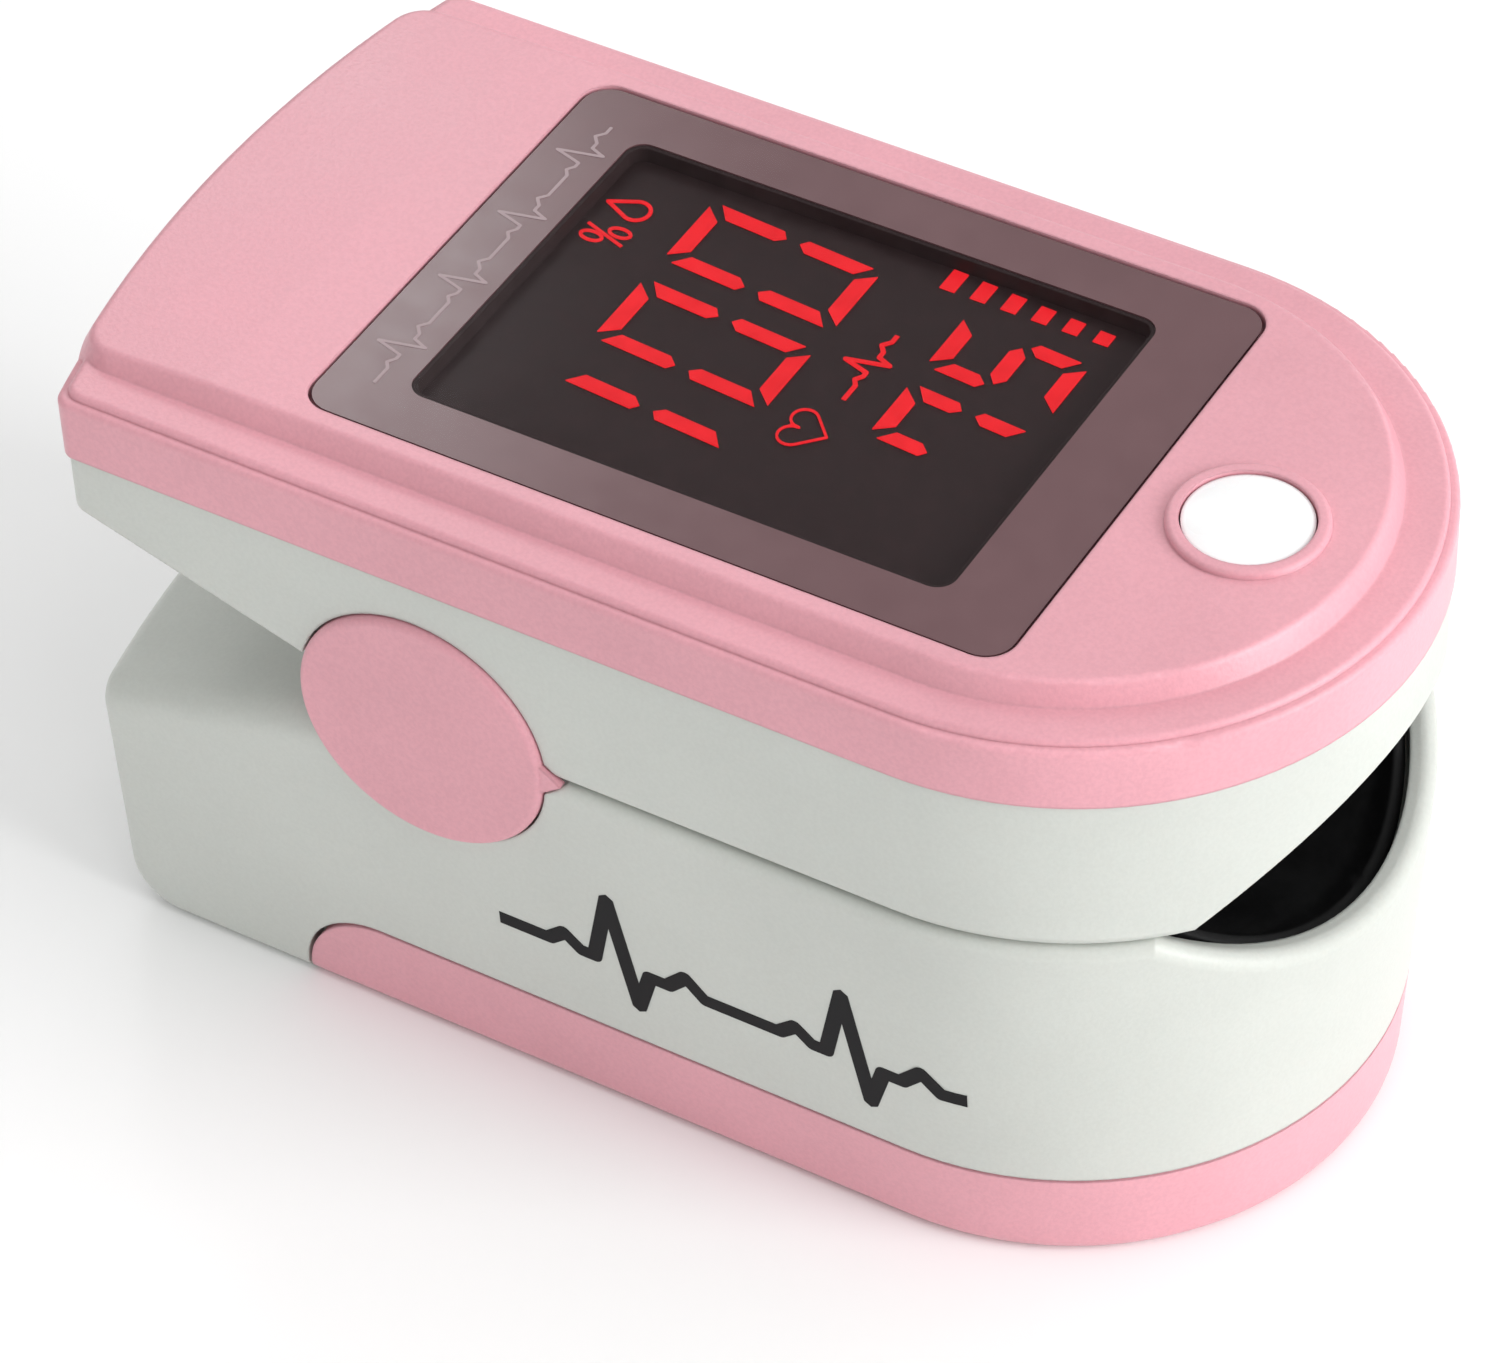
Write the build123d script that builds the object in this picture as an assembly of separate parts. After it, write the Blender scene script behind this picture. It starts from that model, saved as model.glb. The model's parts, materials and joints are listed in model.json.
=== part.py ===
from build123d import *
import math
import os

# Fingertip pulse oximeter. Millimetres, +Z up, +X towards the rounded nose where the finger goes in.
# The origin is at the middle of the flat underside, so the object stands on z = 0.

# ---------------------------------------------------------------- overall form
LENGTH = 57.0
WIDTH = 31.0
HEIGHT = 32.0                      # up to the top face, without the button
NOSE_X = LENGTH / 2 - WIDTH / 2    # centre of the round nose
TAIL_RADIUS = 59.0                 # shallow arc across the tail
TAIL_CENTRE_X = TAIL_RADIUS - LENGTH / 2
TAIL_CORNER = 0.8                  # upright corners at the tail, upper half
TAIL_FOOT_RADIUS = 2.6             # round at the bottom of the tail, lower half
TAIL_SLOPE_RADIUS = 1.4            # along the sides of the lower half's sloped tail
TAIL_OVERRUN = 3.0                 # the lower block starts this much too long, then its tail is cut
LOWER_RIM_EDGE = 0.6               # soft outer edge of the lower half, along the seam and the mouth
UPPER_RIM_EDGE = 0.45              # the same on the upper half
FOOT_RADIUS = 0.9                  # round along the bottom edge and up the tail's corners
DRAFT = 3.3                        # degrees, how the lower half narrows downwards
FAR = 60.0                         # longer than anything that is cut

# ---------------------------------------------------------------- levels
COVER_FLOOR = 1.2                  # thickness of the battery cover's bottom plate
SKIRT_TOP = 4.8                    # top of the battery cover's side skirts
BAY_ROOF = 12.0                    # inside top of the battery bay
LOWER_TOP = 19.5                   # seam between the halves, lower side
UPPER_BOTTOM = 19.7                # seam between the halves, upper side
CEILING_BOTTOM = 24.9              # plate above the finger, inside the upper shell
CEILING_TOP = 25.7
BOARD_BOTTOM = 26.4
BOARD_TOP = 27.4
PARTING = 27.7                     # joint between the upper shell and the top cover
TOP_PLATE_BOTTOM = 30.6
LEDGE = 31.0                       # narrow step round the raised top face
LENS_SEAT = 31.2

# ---------------------------------------------------------------- top cover
LEDGE_WIDTH = 2.2                  # from the side to the foot of the raised face
LEDGE_LIP = 0.3                    # the ledge itself starts with a small step up from the side ...
LEDGE_LIP_INSET = 0.4              # ... set in by this much
LEDGE_EDGE = 0.25                  # soft edges of both steps
PLATEAU_ROOT = 0.6                 # the raised face starts this far below the ledge, flush with the tail
PLATEAU_CORNER = 2.0               # its corners at the tail
PLATEAU_TAPER = 28                 # degrees, how its sides lean in
PLATEAU_EDGE = 0.3                 # soft upper edge
TAIL_FALL_START = -20.4            # from here to the tail the raised face slopes down ...
TAIL_FALL = 0.35                   # ... by this much at x = -FAR / 2

# ---------------------------------------------------------------- hinge
PIVOT_X = -9.35
PIVOT_Z = 19.55
AXLE_RADIUS = 1.25
AXLE_HALF_LENGTH = 14.8
FIXED_FIT = 0.02                   # radial gap where the axle is held
RUNNING_FIT = 0.05                 # radial gap where the upper half turns on it
DISC_RADIUS = 5.95
DISC_HOLE_RADIUS = 6.05
DISC_EDGE = 0.3
DISC_INNER = 14.05                 # disc thickness runs from here ...
DISC_OUTER = 15.65                 # ... to here, slightly proud of the sides
NUB_LENGTH = 0.9                   # pointer on the disc, at the seam
NUB_HALF_HEIGHT = 0.9
NUB_Y = (15.15, 15.55)
NUB_GAP = 0.2
LOWER_EAR = (12.1, 13.9)           # thickness range of the lower half's hinge ears, in |y|
UPPER_EAR = (10.3, 11.8)           # and of the upper half's ears, between them
EAR_RADIUS = 4.2
UPPER_EAR_RADIUS = 4.0
POCKET_FRONT = -4.7                # space for the spring between the halves
POCKET_REAR = -14.6
POCKET_FLOOR = 12.9
FINGER_STOP_X = -3.5
COIL_RADII = (1.75, 2.45)
COIL_HALF_LENGTH = 4.6
LEG_Y = 4.2
LEG_START = 2.1                    # legs leave the coil this far behind the pivot ...
LEG_END = 3.6                      # ... and end this far behind it
LEG_RADIUS = 0.35
LEG_CLEARANCE = 0.5

# Both halves are cut back behind the pivot so that the tail can be squeezed.
# Each cut is a straight line in side view, through this point and rising at this slope.
UPPER_SLOPE_POINT = (-15.25, 21.4)
UPPER_SLOPE = 0.311
LOWER_SLOPE_POINT = (-15.5, 17.2)
LOWER_SLOPE = -0.296

# ---------------------------------------------------------------- finger mouth
LOWER_RIM_RADIUS = 15.7            # trough in the white rim, lowest at y = 0
LOWER_RIM_Z = 14.87
LOWER_PAD_RADIUS = 12.9            # inner face of the rubber trough
LOWER_PAD_Z = 14.12
UPPER_RIM_RADIUS = 14.0            # arch in the upper shell, highest at y = 0
UPPER_RIM_Z = 24.0
UPPER_PAD_RADIUS = 13.9
UPPER_PAD_Z = 23.9
PAD_THICKNESS = 1.0
PAD_GAP = 0.05
RIM_WALL = 1.4                     # white wall outside the lower pad
UPPER_RIM_WALL = 1.5

# ---------------------------------------------------------------- walls
WALL = 1.6
SEAM_GAP = 0.15
UPPER_INSET = 0.15                 # the upper shell is this much narrower than the cover above it
PARTING_GAP = 0.05

# ---------------------------------------------------------------- battery bay
CELL_RADIUS = 5.25                 # two AAA cells side by side
CELL_LENGTH = 44.5
CELL_NUB_RADIUS = 1.9
CELL_NUB_LENGTH = 1.0
CELL_Y = 5.4
CELL_Z = 6.55
BAY_REAR = -26.0
BAY_FRONT = 21.0
BAY_HALF_WIDTH = 10.95
CELL_EDGE = 0.4
CONTACT_SHEET = 0.3
CONTACT_HALF_WIDTH = 9.6
CONTACT_Z = (2.6, 10.6)
CONTACT_BUTTON_RADIUS = 2.6
FRONT_CONTACT_INNER = 0.9          # the two front contacts stay this far from the middle
CONTACT_TAB_OUTER = 2.0
SPRING_LENGTH = 1.4                # a pressed contact spring
SPRING_WIDE = 3.4
SPRING_NARROW = 2.0
SPRING_WALL = 0.6
COVER_REAR = -17.2                 # where the battery cover's skirts end
SKIRT_CORNER = 4.3
SKIRT_INNER_INSET = 2.1
SKIRT_SEAT_INSET = 2.25            # the lower shell's wall behind the skirts
RAIL_Y = (12.86, 13.6)             # rails inside the skirts, which slide in grooves
RAIL_Z = (2.6, 3.4)
RAIL_REAR = COVER_REAR + 2.2
MARK_DEPTH = 0.35                  # thumb grooves and arrow in the bottom
THUMB_GROOVES = 5
THUMB_GROOVE_START = 6.0
THUMB_GROOVE_WIDTH = 0.8
THUMB_GROOVE_PITCH = 1.8
THUMB_GROOVE_HALF_LENGTH = 6.0
ARROW = [(1.0, -3.0, 0), (4.0, 0, 0), (1.0, 3.0, 0)]

# ---------------------------------------------------------------- display
WINDOW_X = (-16.75, 16.1)
WINDOW_HALF_WIDTH = 11.9
WINDOW_CORNER = 1.4
SCREEN_X = (-13.2, 12.2)
SCREEN_HALF_WIDTH = 9.2
SCREEN_CORNER = 0.9
LENS_GAP = 0.05
LENS_CHAMFER = 0.12
DISPLAY_FLANGE = 0.8               # the display block is this much wider below the opening

# ---------------------------------------------------------------- button
BUTTON_X = 20.8
BUTTON_RADIUS = 2.7
BUTTON_TOP = 32.5
BUTTON_DOME = 0.35
BUTTON_HOLE_RADIUS = 2.78
COLLAR_RADIUS = 3.35
COLLAR_HEIGHT = 0.3
COLLAR_EDGE = 0.22
BUTTON_NECK_BOTTOM = 30.4
BUTTON_FLANGE_RADIUS = 3.3
BUTTON_FLANGE_BOTTOM = 29.8
PLUNGER_RADIUS = 1.2
PLUNGER_BOTTOM = 28.1
SWITCH_HALF_SIZE = 2.2
SWITCH_TOP = 28.9
SWITCH_BORE_BOTTOM = 27.6

# ---------------------------------------------------------------- sensors and small parts
SENSOR_X = 8.0
SENSOR_WINDOW = (6.2, 4.4)
SENSOR_CHIP = (3.4, 3.0)
CHIP_GAP = 0.1
SENSOR_BOARD_X = (-4.5, 20.5)
SENSOR_BOARD_HALF_WIDTH = 2.0
SENSOR_BOARD_THICKNESS = 0.7
EMITTER_BASE = (3.2, 3.0)
EMITTER_DOME_RADIUS = 1.2
EMITTER_DOME_HEIGHT = 0.5
EMITTER_BOARD = (10.0, 8.0)
EMITTER_BOARD_THICKNESS = 0.5
MAIN_BOARD_INSET = 2.4
MAIN_BOARD_REAR = -14.2
BOARD_POSTS = ((-12.0, 11.4), (17.5, 8.5))
BOARD_POST_RADIUS = 1.0
# chips on the underside of the main board: x range and y range
CHIPS = (
    ((-13.0, -6.8), (4.0, 10.2)),
    ((-3.5, 0.5), (5.5, 9.5)),
    ((14.5, 18.0), (-2.5, 2.5)),
    ((-12.5, -8.5), (-9.0, -5.0)),
)
CHIP_HEIGHT = 0.6
PASSIVES = 4                       # a row of small parts beside them
PASSIVE_START = -2.5
PASSIVE_PITCH = 1.6
PASSIVE_LENGTH = 0.8
PASSIVE_Y = (-8.4, -7.0)
PASSIVE_HEIGHT = 0.5
FLEX_X = -5.6
FLEX_WIDTH = 3.0
FLEX_THICKNESS = 0.2
FLEX_BEND = 0.5
FLEX_TAIL = 4.0
FLEX_SLOT_LENGTH = 1.2
FLEX_SLOT_HALF_WIDTH = 2.0
SCREW_X = -21.5
SCREW_Y = 10.0
SCREW_HEAD_RADIUS = 1.5
SCREW_HEAD_Z = (23.7, 24.65)
SCREW_HEAD_EDGE = 0.3
SCREW_TIP = 29.6
SCREW_RADIUS = 0.85
SCREW_CROSS = (1.1, 0.2)           # half length and half width of each cut of the cross
SCREW_CROSS_TOP = 24.1
PILLAR_RADIUS = 2.6
BOSS_RADIUS = 2.2
BOSS_HOLE_TOP = 29.9


# ================================================================ helpers
def box(x, y, z):
    """A box from three (low, high) ranges."""
    centre = [(low + high) / 2 for low, high in (x, y, z)]
    size = [high - low for low, high in (x, y, z)]
    return Pos(*centre) * Box(*size)


def rod(x, y, radius, z):
    """An upright cylinder through (x, y), between two heights."""
    return Pos(x, y, (z[0] + z[1]) / 2) * Cylinder(radius, z[1] - z[0])


def rod_along_y(x, z, radius, y):
    return Pos(x, (y[0] + y[1]) / 2, z) * Rot(90, 0, 0) * Cylinder(radius, y[1] - y[0])


def rod_along_x(y, z, radius, x):
    return Pos((x[0] + x[1]) / 2, y, z) * Rot(0, 90, 0) * Cylinder(radius, x[1] - x[0])


def outline(half, tail_radius, corner):
    """Outline seen from above: straight sides, round nose, shallow arc across the tail."""
    side_end = TAIL_CENTRE_X - math.sqrt(tail_radius**2 - half**2)
    nose = ThreePointArc((NOSE_X, -half), (NOSE_X + half, 0), (NOSE_X, half))
    far_side = Line((NOSE_X, half), (side_end, half))
    tail = ThreePointArc((side_end, half), (TAIL_CENTRE_X - tail_radius, 0), (side_end, -half))
    near_side = Line((side_end, -half), (NOSE_X, -half))
    face = make_face([nose, far_side, tail, near_side])
    if corner == 0:
        return face
    return fillet(face.vertices().group_by(Axis.X)[0], corner)


def prism(inset, z):
    """The upper half's outline, moved inwards, as a straight block between two heights."""
    face = outline(WIDTH / 2 - inset, TAIL_RADIUS - inset, TAIL_CORNER)
    return extrude(Pos(0, 0, z[0]) * face, z[1] - z[0])


def side_profile(points):
    """A block with this outline in side view (x, z), running right across in Y."""
    face = make_face(Polyline([(x, 0, z) for x, z in points], close=True))
    return extrude(face, FAR / 2, dir=(0, 1, 0), both=True)


def slope_z(point, slope, x):
    """Height of a sloped cut above x; the slope is counted towards the tail."""
    return point[1] + slope * (point[0] - x)


def below_upper_slope(rise=0.0):
    """Everything under the upper half's sloped tail, moved up by rise."""
    start = UPPER_SLOPE_POINT[0] + (UPPER_SLOPE_POINT[1] - UPPER_BOTTOM) / UPPER_SLOPE
    end = -FAR / 2
    return side_profile([
        (start, 0),
        (start, UPPER_BOTTOM + rise),
        (end, slope_z(UPPER_SLOPE_POINT, UPPER_SLOPE, end) + rise),
        (end, 0),
    ])


def above_lower_slope():
    """Everything above the lower half's sloped tail."""
    start = LOWER_SLOPE_POINT[0] - (LOWER_TOP - LOWER_SLOPE_POINT[1]) / LOWER_SLOPE
    end = -FAR / 2
    return side_profile([
        (start, LOWER_TOP),
        (start, FAR),
        (end, FAR),
        (end, slope_z(LOWER_SLOPE_POINT, LOWER_SLOPE, end)),
    ])


def arch(radius, top_z, x):
    """A cylinder along X whose highest line is at top_z: the roof over the finger."""
    return rod_along_x(0, top_z - radius, radius, x)


def trough(radius, bottom_z, x):
    """A cylinder along X whose lowest line is at bottom_z: the bed under the finger."""
    return rod_along_x(0, bottom_z + radius, radius, x)


def both_sides(y, z, x):
    """The same box on the near and the far side, from its |y| range."""
    return box(x, (y[0], y[1]), z) + box(x, (-y[1], -y[0]), z)


def disc_holes():
    """Round holes through both side walls, round the pivot."""
    outer = WIDTH / 2 + 1
    near = rod_along_y(PIVOT_X, PIVOT_Z, DISC_HOLE_RADIUS, (-outer, -LOWER_EAR[1]))
    far = rod_along_y(PIVOT_X, PIVOT_Z, DISC_HOLE_RADIUS, (LOWER_EAR[1], outer))
    return near + far


def pointer(y, gap=0.0):
    """Wedge on the front of a disc that points along the seam; with gap, the notch that it sits in."""
    root = PIVOT_X + DISC_RADIUS - DISC_EDGE
    tip = root + DISC_EDGE + NUB_LENGTH + gap
    half = NUB_HALF_HEIGHT + gap
    corners = [(root, y[0], PIVOT_Z - half), (tip, y[0], PIVOT_Z), (root, y[0], PIVOT_Z + half)]
    return extrude(make_face(Polyline(corners, close=True)), y[1] - y[0], dir=(0, 1, 0))


def pointer_notches():
    """Notches in the seam for the pointers on the two discs."""
    return pointer((NUB_Y[0] - NUB_GAP, WIDTH), NUB_GAP) + pointer((-WIDTH, NUB_GAP - NUB_Y[0]), NUB_GAP)


def outer_distance(point):
    """Distance from the middle line, or from the nose's centre: half the width on the outside."""
    return math.hypot(max(point.X - NOSE_X, 0), point.Y)


def sensor_chip(z, grow=0.0):
    """Block of the photodetector, or with grow the hole that it sits in."""
    x = (SENSOR_X - SENSOR_CHIP[0] / 2 - grow, SENSOR_X + SENSOR_CHIP[0] / 2 + grow)
    return box(x, (-SENSOR_CHIP[1] / 2 - grow, SENSOR_CHIP[1] / 2 + grow), z)


def flex_slot(z):
    """Slot that the ribbon passes through."""
    x = (FLEX_X - FLEX_SLOT_LENGTH / 2, FLEX_X + FLEX_SLOT_LENGTH / 2)
    return box(x, (-FLEX_SLOT_HALF_WIDTH, FLEX_SLOT_HALF_WIDTH), z)


def sensor_hole(z, grow=0.0):
    """Rectangular hole for the clear window in a finger pad."""
    length, width = SENSOR_WINDOW
    return box(
        (SENSOR_X - length / 2 - grow, SENSOR_X + length / 2 + grow),
        (-width / 2 - grow, width / 2 + grow),
        z,
    )


def cell_x(side):
    """Low and high x of a cell; each is pushed against its flat contact by the spring opposite."""
    if side < 0:
        low = BAY_REAR + 2 * CONTACT_SHEET
        return low, low + CELL_LENGTH
    high = BAY_FRONT - 2 * CONTACT_SHEET
    return high - CELL_LENGTH, high


# ================================================================ lower half
def lower_block():
    """Outer form of the lower half: sides and nose narrow downwards, the tail is upright."""
    narrowing = math.tan(math.radians(DRAFT)) * LOWER_TOP
    sole = outline(WIDTH / 2 - narrowing, TAIL_RADIUS + TAIL_OVERRUN, 0)
    block = extrude(sole, LOWER_TOP, taper=-DRAFT)
    drum = rod(TAIL_CENTRE_X, 0, TAIL_RADIUS, (0, HEIGHT))
    block &= fillet(drum.edges().filter_by(GeomType.CIRCLE).sort_by(Axis.Z)[0], TAIL_FOOT_RADIUS)
    block -= above_lower_slope()
    block = fillet(block.edges().filter_by(on_tail_slope_side), TAIL_SLOPE_RADIUS)
    return fillet(block.edges().filter_by(on_foot_or_tail_corner), FOOT_RADIUS)


def on_tail_slope_side(edge):
    """Long side edges of the sloped tail of the lower half."""
    bounds = edge.bounding_box()
    long = bounds.max.X - bounds.min.X > 12
    tilted = 2.0 < bounds.max.Z - bounds.min.Z < 6.5
    return long and tilted and bounds.max.X < PIVOT_X + 3


def on_foot_or_tail_corner(edge):
    """Bottom edge of the sides and nose, and the upright corners that run up the tail from it."""
    bounds = edge.bounding_box()
    on_side = abs((edge @ 0.5).Y) > WIDTH / 3
    on_sole = bounds.max.Z < 0.1 and (on_side or bounds.max.X > NOSE_X)
    upright = bounds.max.Z - bounds.min.Z > 1.5 and bounds.min.Z < SKIRT_TOP
    return on_sole or (on_side and upright and bounds.max.X < -LENGTH / 3)


def on_lower_rim(edge):
    """Outer top edge of the lower half, along the seam and round the finger mouth."""
    middle = edge @ 0.5
    half = WIDTH / 2 - (LOWER_TOP - middle.Z) * math.tan(math.radians(DRAFT))
    outside = abs(outer_distance(middle) - half) < 0.06
    bounds = edge.bounding_box()
    return outside and bounds.max.X > 0 and bounds.min.Z > LOWER_RIM_Z - 0.5


def battery_cover_region(gap=0.0):
    """The part of the lower half that belongs to the battery cover, grown by gap."""
    rear = COVER_REAR - gap
    top = SKIRT_TOP + gap
    centre = (rear + SKIRT_CORNER, top - SKIRT_CORNER)
    half_turn = SKIRT_CORNER * math.sqrt(0.5)
    outline = [
        Line((rear, 0, -1), (rear, 0, centre[1])),
        ThreePointArc(
            (rear, 0, centre[1]),
            (centre[0] - half_turn, 0, centre[1] + half_turn),
            (centre[0], 0, top),
        ),
        Line((centre[0], 0, top), (FAR, 0, top)),
        Line((FAR, 0, top), (FAR, 0, -1)),
        Line((FAR, 0, -1), (rear, 0, -1)),
    ]
    outside = extrude(make_face(outline), FAR / 2, dir=(0, 1, 0), both=True)
    return outside - prism(SKIRT_SEAT_INSET - gap / 2, (COVER_FLOOR + gap, SKIRT_TOP + 1))


def lower_shell():
    mouth = (FINGER_STOP_X, FAR)
    shell = lower_block() - trough(LOWER_RIM_RADIUS, LOWER_RIM_Z, mouth)
    shell = fillet(shell.edges().filter_by(on_lower_rim), LOWER_RIM_EDGE)
    pad_bed = trough(LOWER_PAD_RADIUS + PAD_THICKNESS, LOWER_PAD_Z - PAD_THICKNESS, mouth)
    shell -= pad_bed & prism(RIM_WALL, (LOWER_PAD_Z - 2, LOWER_TOP + 1))

    shell -= box((BAY_REAR, BAY_FRONT), (-BAY_HALF_WIDTH, BAY_HALF_WIDTH), (COVER_FLOOR, BAY_ROOF))
    shell -= box((COVER_REAR, BAY_FRONT), (-BAY_HALF_WIDTH, BAY_HALF_WIDTH), (-1, BAY_ROOF))
    shell -= battery_cover_region(SEAM_GAP)
    groove_z = (RAIL_Z[0] - SEAM_GAP, RAIL_Z[1] + SEAM_GAP)
    shell -= both_sides((RAIL_Y[0] - SEAM_GAP, FAR / 2), groove_z, (RAIL_REAR - 2 * SEAM_GAP, FAR))

    pocket = box((POCKET_REAR, POCKET_FRONT), (-LOWER_EAR[0], LOWER_EAR[0]), (POCKET_FLOOR, FAR))
    shell -= pocket
    for side in (-1, 1):
        inner, outer = sorted((side * LOWER_EAR[0], side * LOWER_EAR[1]))
        ear = box((PIVOT_X - EAR_RADIUS, PIVOT_X + EAR_RADIUS), (inner, outer), (POCKET_FLOOR, PIVOT_Z))
        shell += ear + rod_along_y(PIVOT_X, PIVOT_Z, EAR_RADIUS, (inner, outer))
    shell -= disc_holes()
    shell -= pointer_notches()
    shell -= rod_along_y(PIVOT_X, PIVOT_Z, AXLE_RADIUS + FIXED_FIT, (-FAR / 2, FAR / 2))

    shell -= sensor_chip((BAY_ROOF - 1, LOWER_PAD_Z), CHIP_GAP)
    return shell - flex_slot((BAY_ROOF - 1, POCKET_FLOOR + 0.5))


def lower_pad_block():
    """Curved bed under the finger, without the hole for its window."""
    length = (FINGER_STOP_X + PAD_GAP, FAR)
    pad = trough(LOWER_PAD_RADIUS + PAD_THICKNESS - PAD_GAP, LOWER_PAD_Z - PAD_THICKNESS + PAD_GAP, length)
    pad &= prism(RIM_WALL + PAD_GAP, (LOWER_PAD_Z - 2, LOWER_TOP - 0.1))
    return pad - trough(LOWER_PAD_RADIUS, LOWER_PAD_Z, (-FAR, FAR))


def lower_finger_pad():
    return lower_pad_block() - sensor_hole((0, HEIGHT))


def detector_window():
    return lower_pad_block() & sensor_hole((0, HEIGHT), -PAD_GAP)


def photodetector():
    return sensor_chip((BAY_ROOF, LOWER_PAD_Z - PAD_THICKNESS))


def sensor_board():
    """Narrow strip that hangs in the valley between the two cells."""
    y = (-SENSOR_BOARD_HALF_WIDTH, SENSOR_BOARD_HALF_WIDTH)
    return box(SENSOR_BOARD_X, y, (BAY_ROOF - SENSOR_BOARD_THICKNESS, BAY_ROOF))


def flex_cable():
    """Flat ribbon from the lower sensor board up through the hinge space to the main board."""
    lower_level = BAY_ROOF - SENSOR_BOARD_THICKNESS / 2
    upper_level = BOARD_BOTTOM - FLEX_THICKNESS / 2
    path = FilletPolyline(
        (SENSOR_BOARD_X[0], 0, lower_level),
        (FLEX_X, 0, lower_level),
        (FLEX_X, 0, upper_level),
        (FLEX_X - FLEX_TAIL, 0, upper_level),
        radius=FLEX_BEND,
    )
    section = Plane(origin=path @ 0, x_dir=(0, 1, 0), z_dir=path % 0) * Rectangle(FLEX_WIDTH, FLEX_THICKNESS)
    return sweep(section, path=path)


def battery(side):
    """One AAA cell with its raised positive end; the two lie in opposite directions."""
    low, high = cell_x(side)
    y = side * CELL_Y
    if side < 0:
        can_x = (low + CELL_NUB_LENGTH, high)
        nub_x = (low, low + CELL_NUB_LENGTH + 0.1)
    else:
        can_x = (low, high - CELL_NUB_LENGTH)
        nub_x = (high - CELL_NUB_LENGTH - 0.1, high)
    can = rod_along_x(y, CELL_Z, CELL_RADIUS, can_x)
    can = fillet(can.edges().filter_by(GeomType.CIRCLE), CELL_EDGE)
    return can + rod_along_x(y, CELL_Z, CELL_NUB_RADIUS, nub_x)


def rear_contact():
    """Bent sheet that joins the two cells: a button for one, a seat for the other's spring."""
    sheet_x = (BAY_REAR, BAY_REAR + CONTACT_SHEET)
    sheet = box(sheet_x, (-CONTACT_HALF_WIDTH, CONTACT_HALF_WIDTH), CONTACT_Z)
    button_x = (sheet_x[1], sheet_x[1] + CONTACT_SHEET)
    return sheet + rod_along_x(-CELL_Y, CELL_Z, CONTACT_BUTTON_RADIUS, button_x)


def front_contact(side):
    """One of the two separate contacts at the nose end, with a tab up to the sensor board."""
    sheet_x = (BAY_FRONT - CONTACT_SHEET, BAY_FRONT)
    y = sorted((side * FRONT_CONTACT_INNER, side * CONTACT_HALF_WIDTH))
    tab_y = sorted((side * FRONT_CONTACT_INNER, side * CONTACT_TAB_OUTER))
    contact = box(sheet_x, y, CONTACT_Z) + box(sheet_x, tab_y, (CONTACT_Z[1], BAY_ROOF))
    if side > 0:
        button_x = (sheet_x[0] - CONTACT_SHEET, sheet_x[0])
        contact += rod_along_x(CELL_Y, CELL_Z, CONTACT_BUTTON_RADIUS, button_x)
    return contact


def contact_spring(side):
    """Conical contact spring in its pressed state, wide end on the sheet."""
    if side < 0:
        wide_x = BAY_FRONT - CONTACT_SHEET
        turn = -90
    else:
        wide_x = BAY_REAR + CONTACT_SHEET
        turn = 90
    cone = Cone(SPRING_WIDE, SPRING_NARROW, SPRING_LENGTH)
    cone -= Cone(SPRING_WIDE - SPRING_WALL, SPRING_NARROW - SPRING_WALL, SPRING_LENGTH)
    centre_x = wide_x + math.copysign(SPRING_LENGTH / 2, turn)
    return Pos(centre_x, side * CELL_Y, CELL_Z) * Rot(0, turn, 0) * cone


def battery_cover():
    """Bottom plate with skirts that wrap the sides and the nose; it slides off towards the nose."""
    cover = lower_block() & battery_cover_region()
    cover -= prism(SKIRT_INNER_INSET, (COVER_FLOOR, SKIRT_TOP + 1))
    cover += both_sides(RAIL_Y, RAIL_Z, (RAIL_REAR, NOSE_X - 1))
    for step in range(THUMB_GROOVES):
        start = THUMB_GROOVE_START + THUMB_GROOVE_PITCH * step
        groove_x = (start, start + THUMB_GROOVE_WIDTH)
        cover -= box(groove_x, (-THUMB_GROOVE_HALF_LENGTH, THUMB_GROOVE_HALF_LENGTH), (-1, MARK_DEPTH))
    return cover - extrude(make_face(Polyline(ARROW, close=True)), MARK_DEPTH, dir=(0, 0, 1))


# ================================================================ hinge
def hinge_disc(side):
    """Round cap over the pivot, with a small pointer at the seam."""
    disc = rod_along_y(PIVOT_X, PIVOT_Z, DISC_RADIUS, sorted((side * DISC_INNER, side * DISC_OUTER)))
    rims = disc.edges().filter_by(GeomType.CIRCLE).sort_by(Axis.Y)
    disc = fillet(rims[-1] if side > 0 else rims[0], DISC_EDGE)
    disc += pointer(sorted((side * NUB_Y[0], side * NUB_Y[1])))
    bore_y = sorted((side * (DISC_INNER - 1), side * (AXLE_HALF_LENGTH + 0.1)))
    return disc - rod_along_y(PIVOT_X, PIVOT_Z, AXLE_RADIUS + FIXED_FIT, bore_y)


def hinge_axle():
    axle = rod_along_y(PIVOT_X, PIVOT_Z, AXLE_RADIUS, (-AXLE_HALF_LENGTH, AXLE_HALF_LENGTH))
    return chamfer(axle.edges().filter_by(GeomType.CIRCLE), 0.2)


def torsion_spring():
    """Close-wound coil round the axle; its two legs push the tails of the halves apart."""
    inner, outer = COIL_RADII
    coil = rod_along_y(PIVOT_X, PIVOT_Z, outer, (-COIL_HALF_LENGTH, COIL_HALF_LENGTH))
    coil -= rod_along_y(PIVOT_X, PIVOT_Z, inner, (-FAR / 2, FAR / 2))
    for y, end_z in ((LEG_Y, CEILING_BOTTOM - LEG_CLEARANCE), (-LEG_Y, POCKET_FLOOR + LEG_CLEARANCE)):
        coil += leg((PIVOT_X - LEG_START, y, PIVOT_Z), (PIVOT_X - LEG_END, y, end_z))
    return coil


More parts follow.
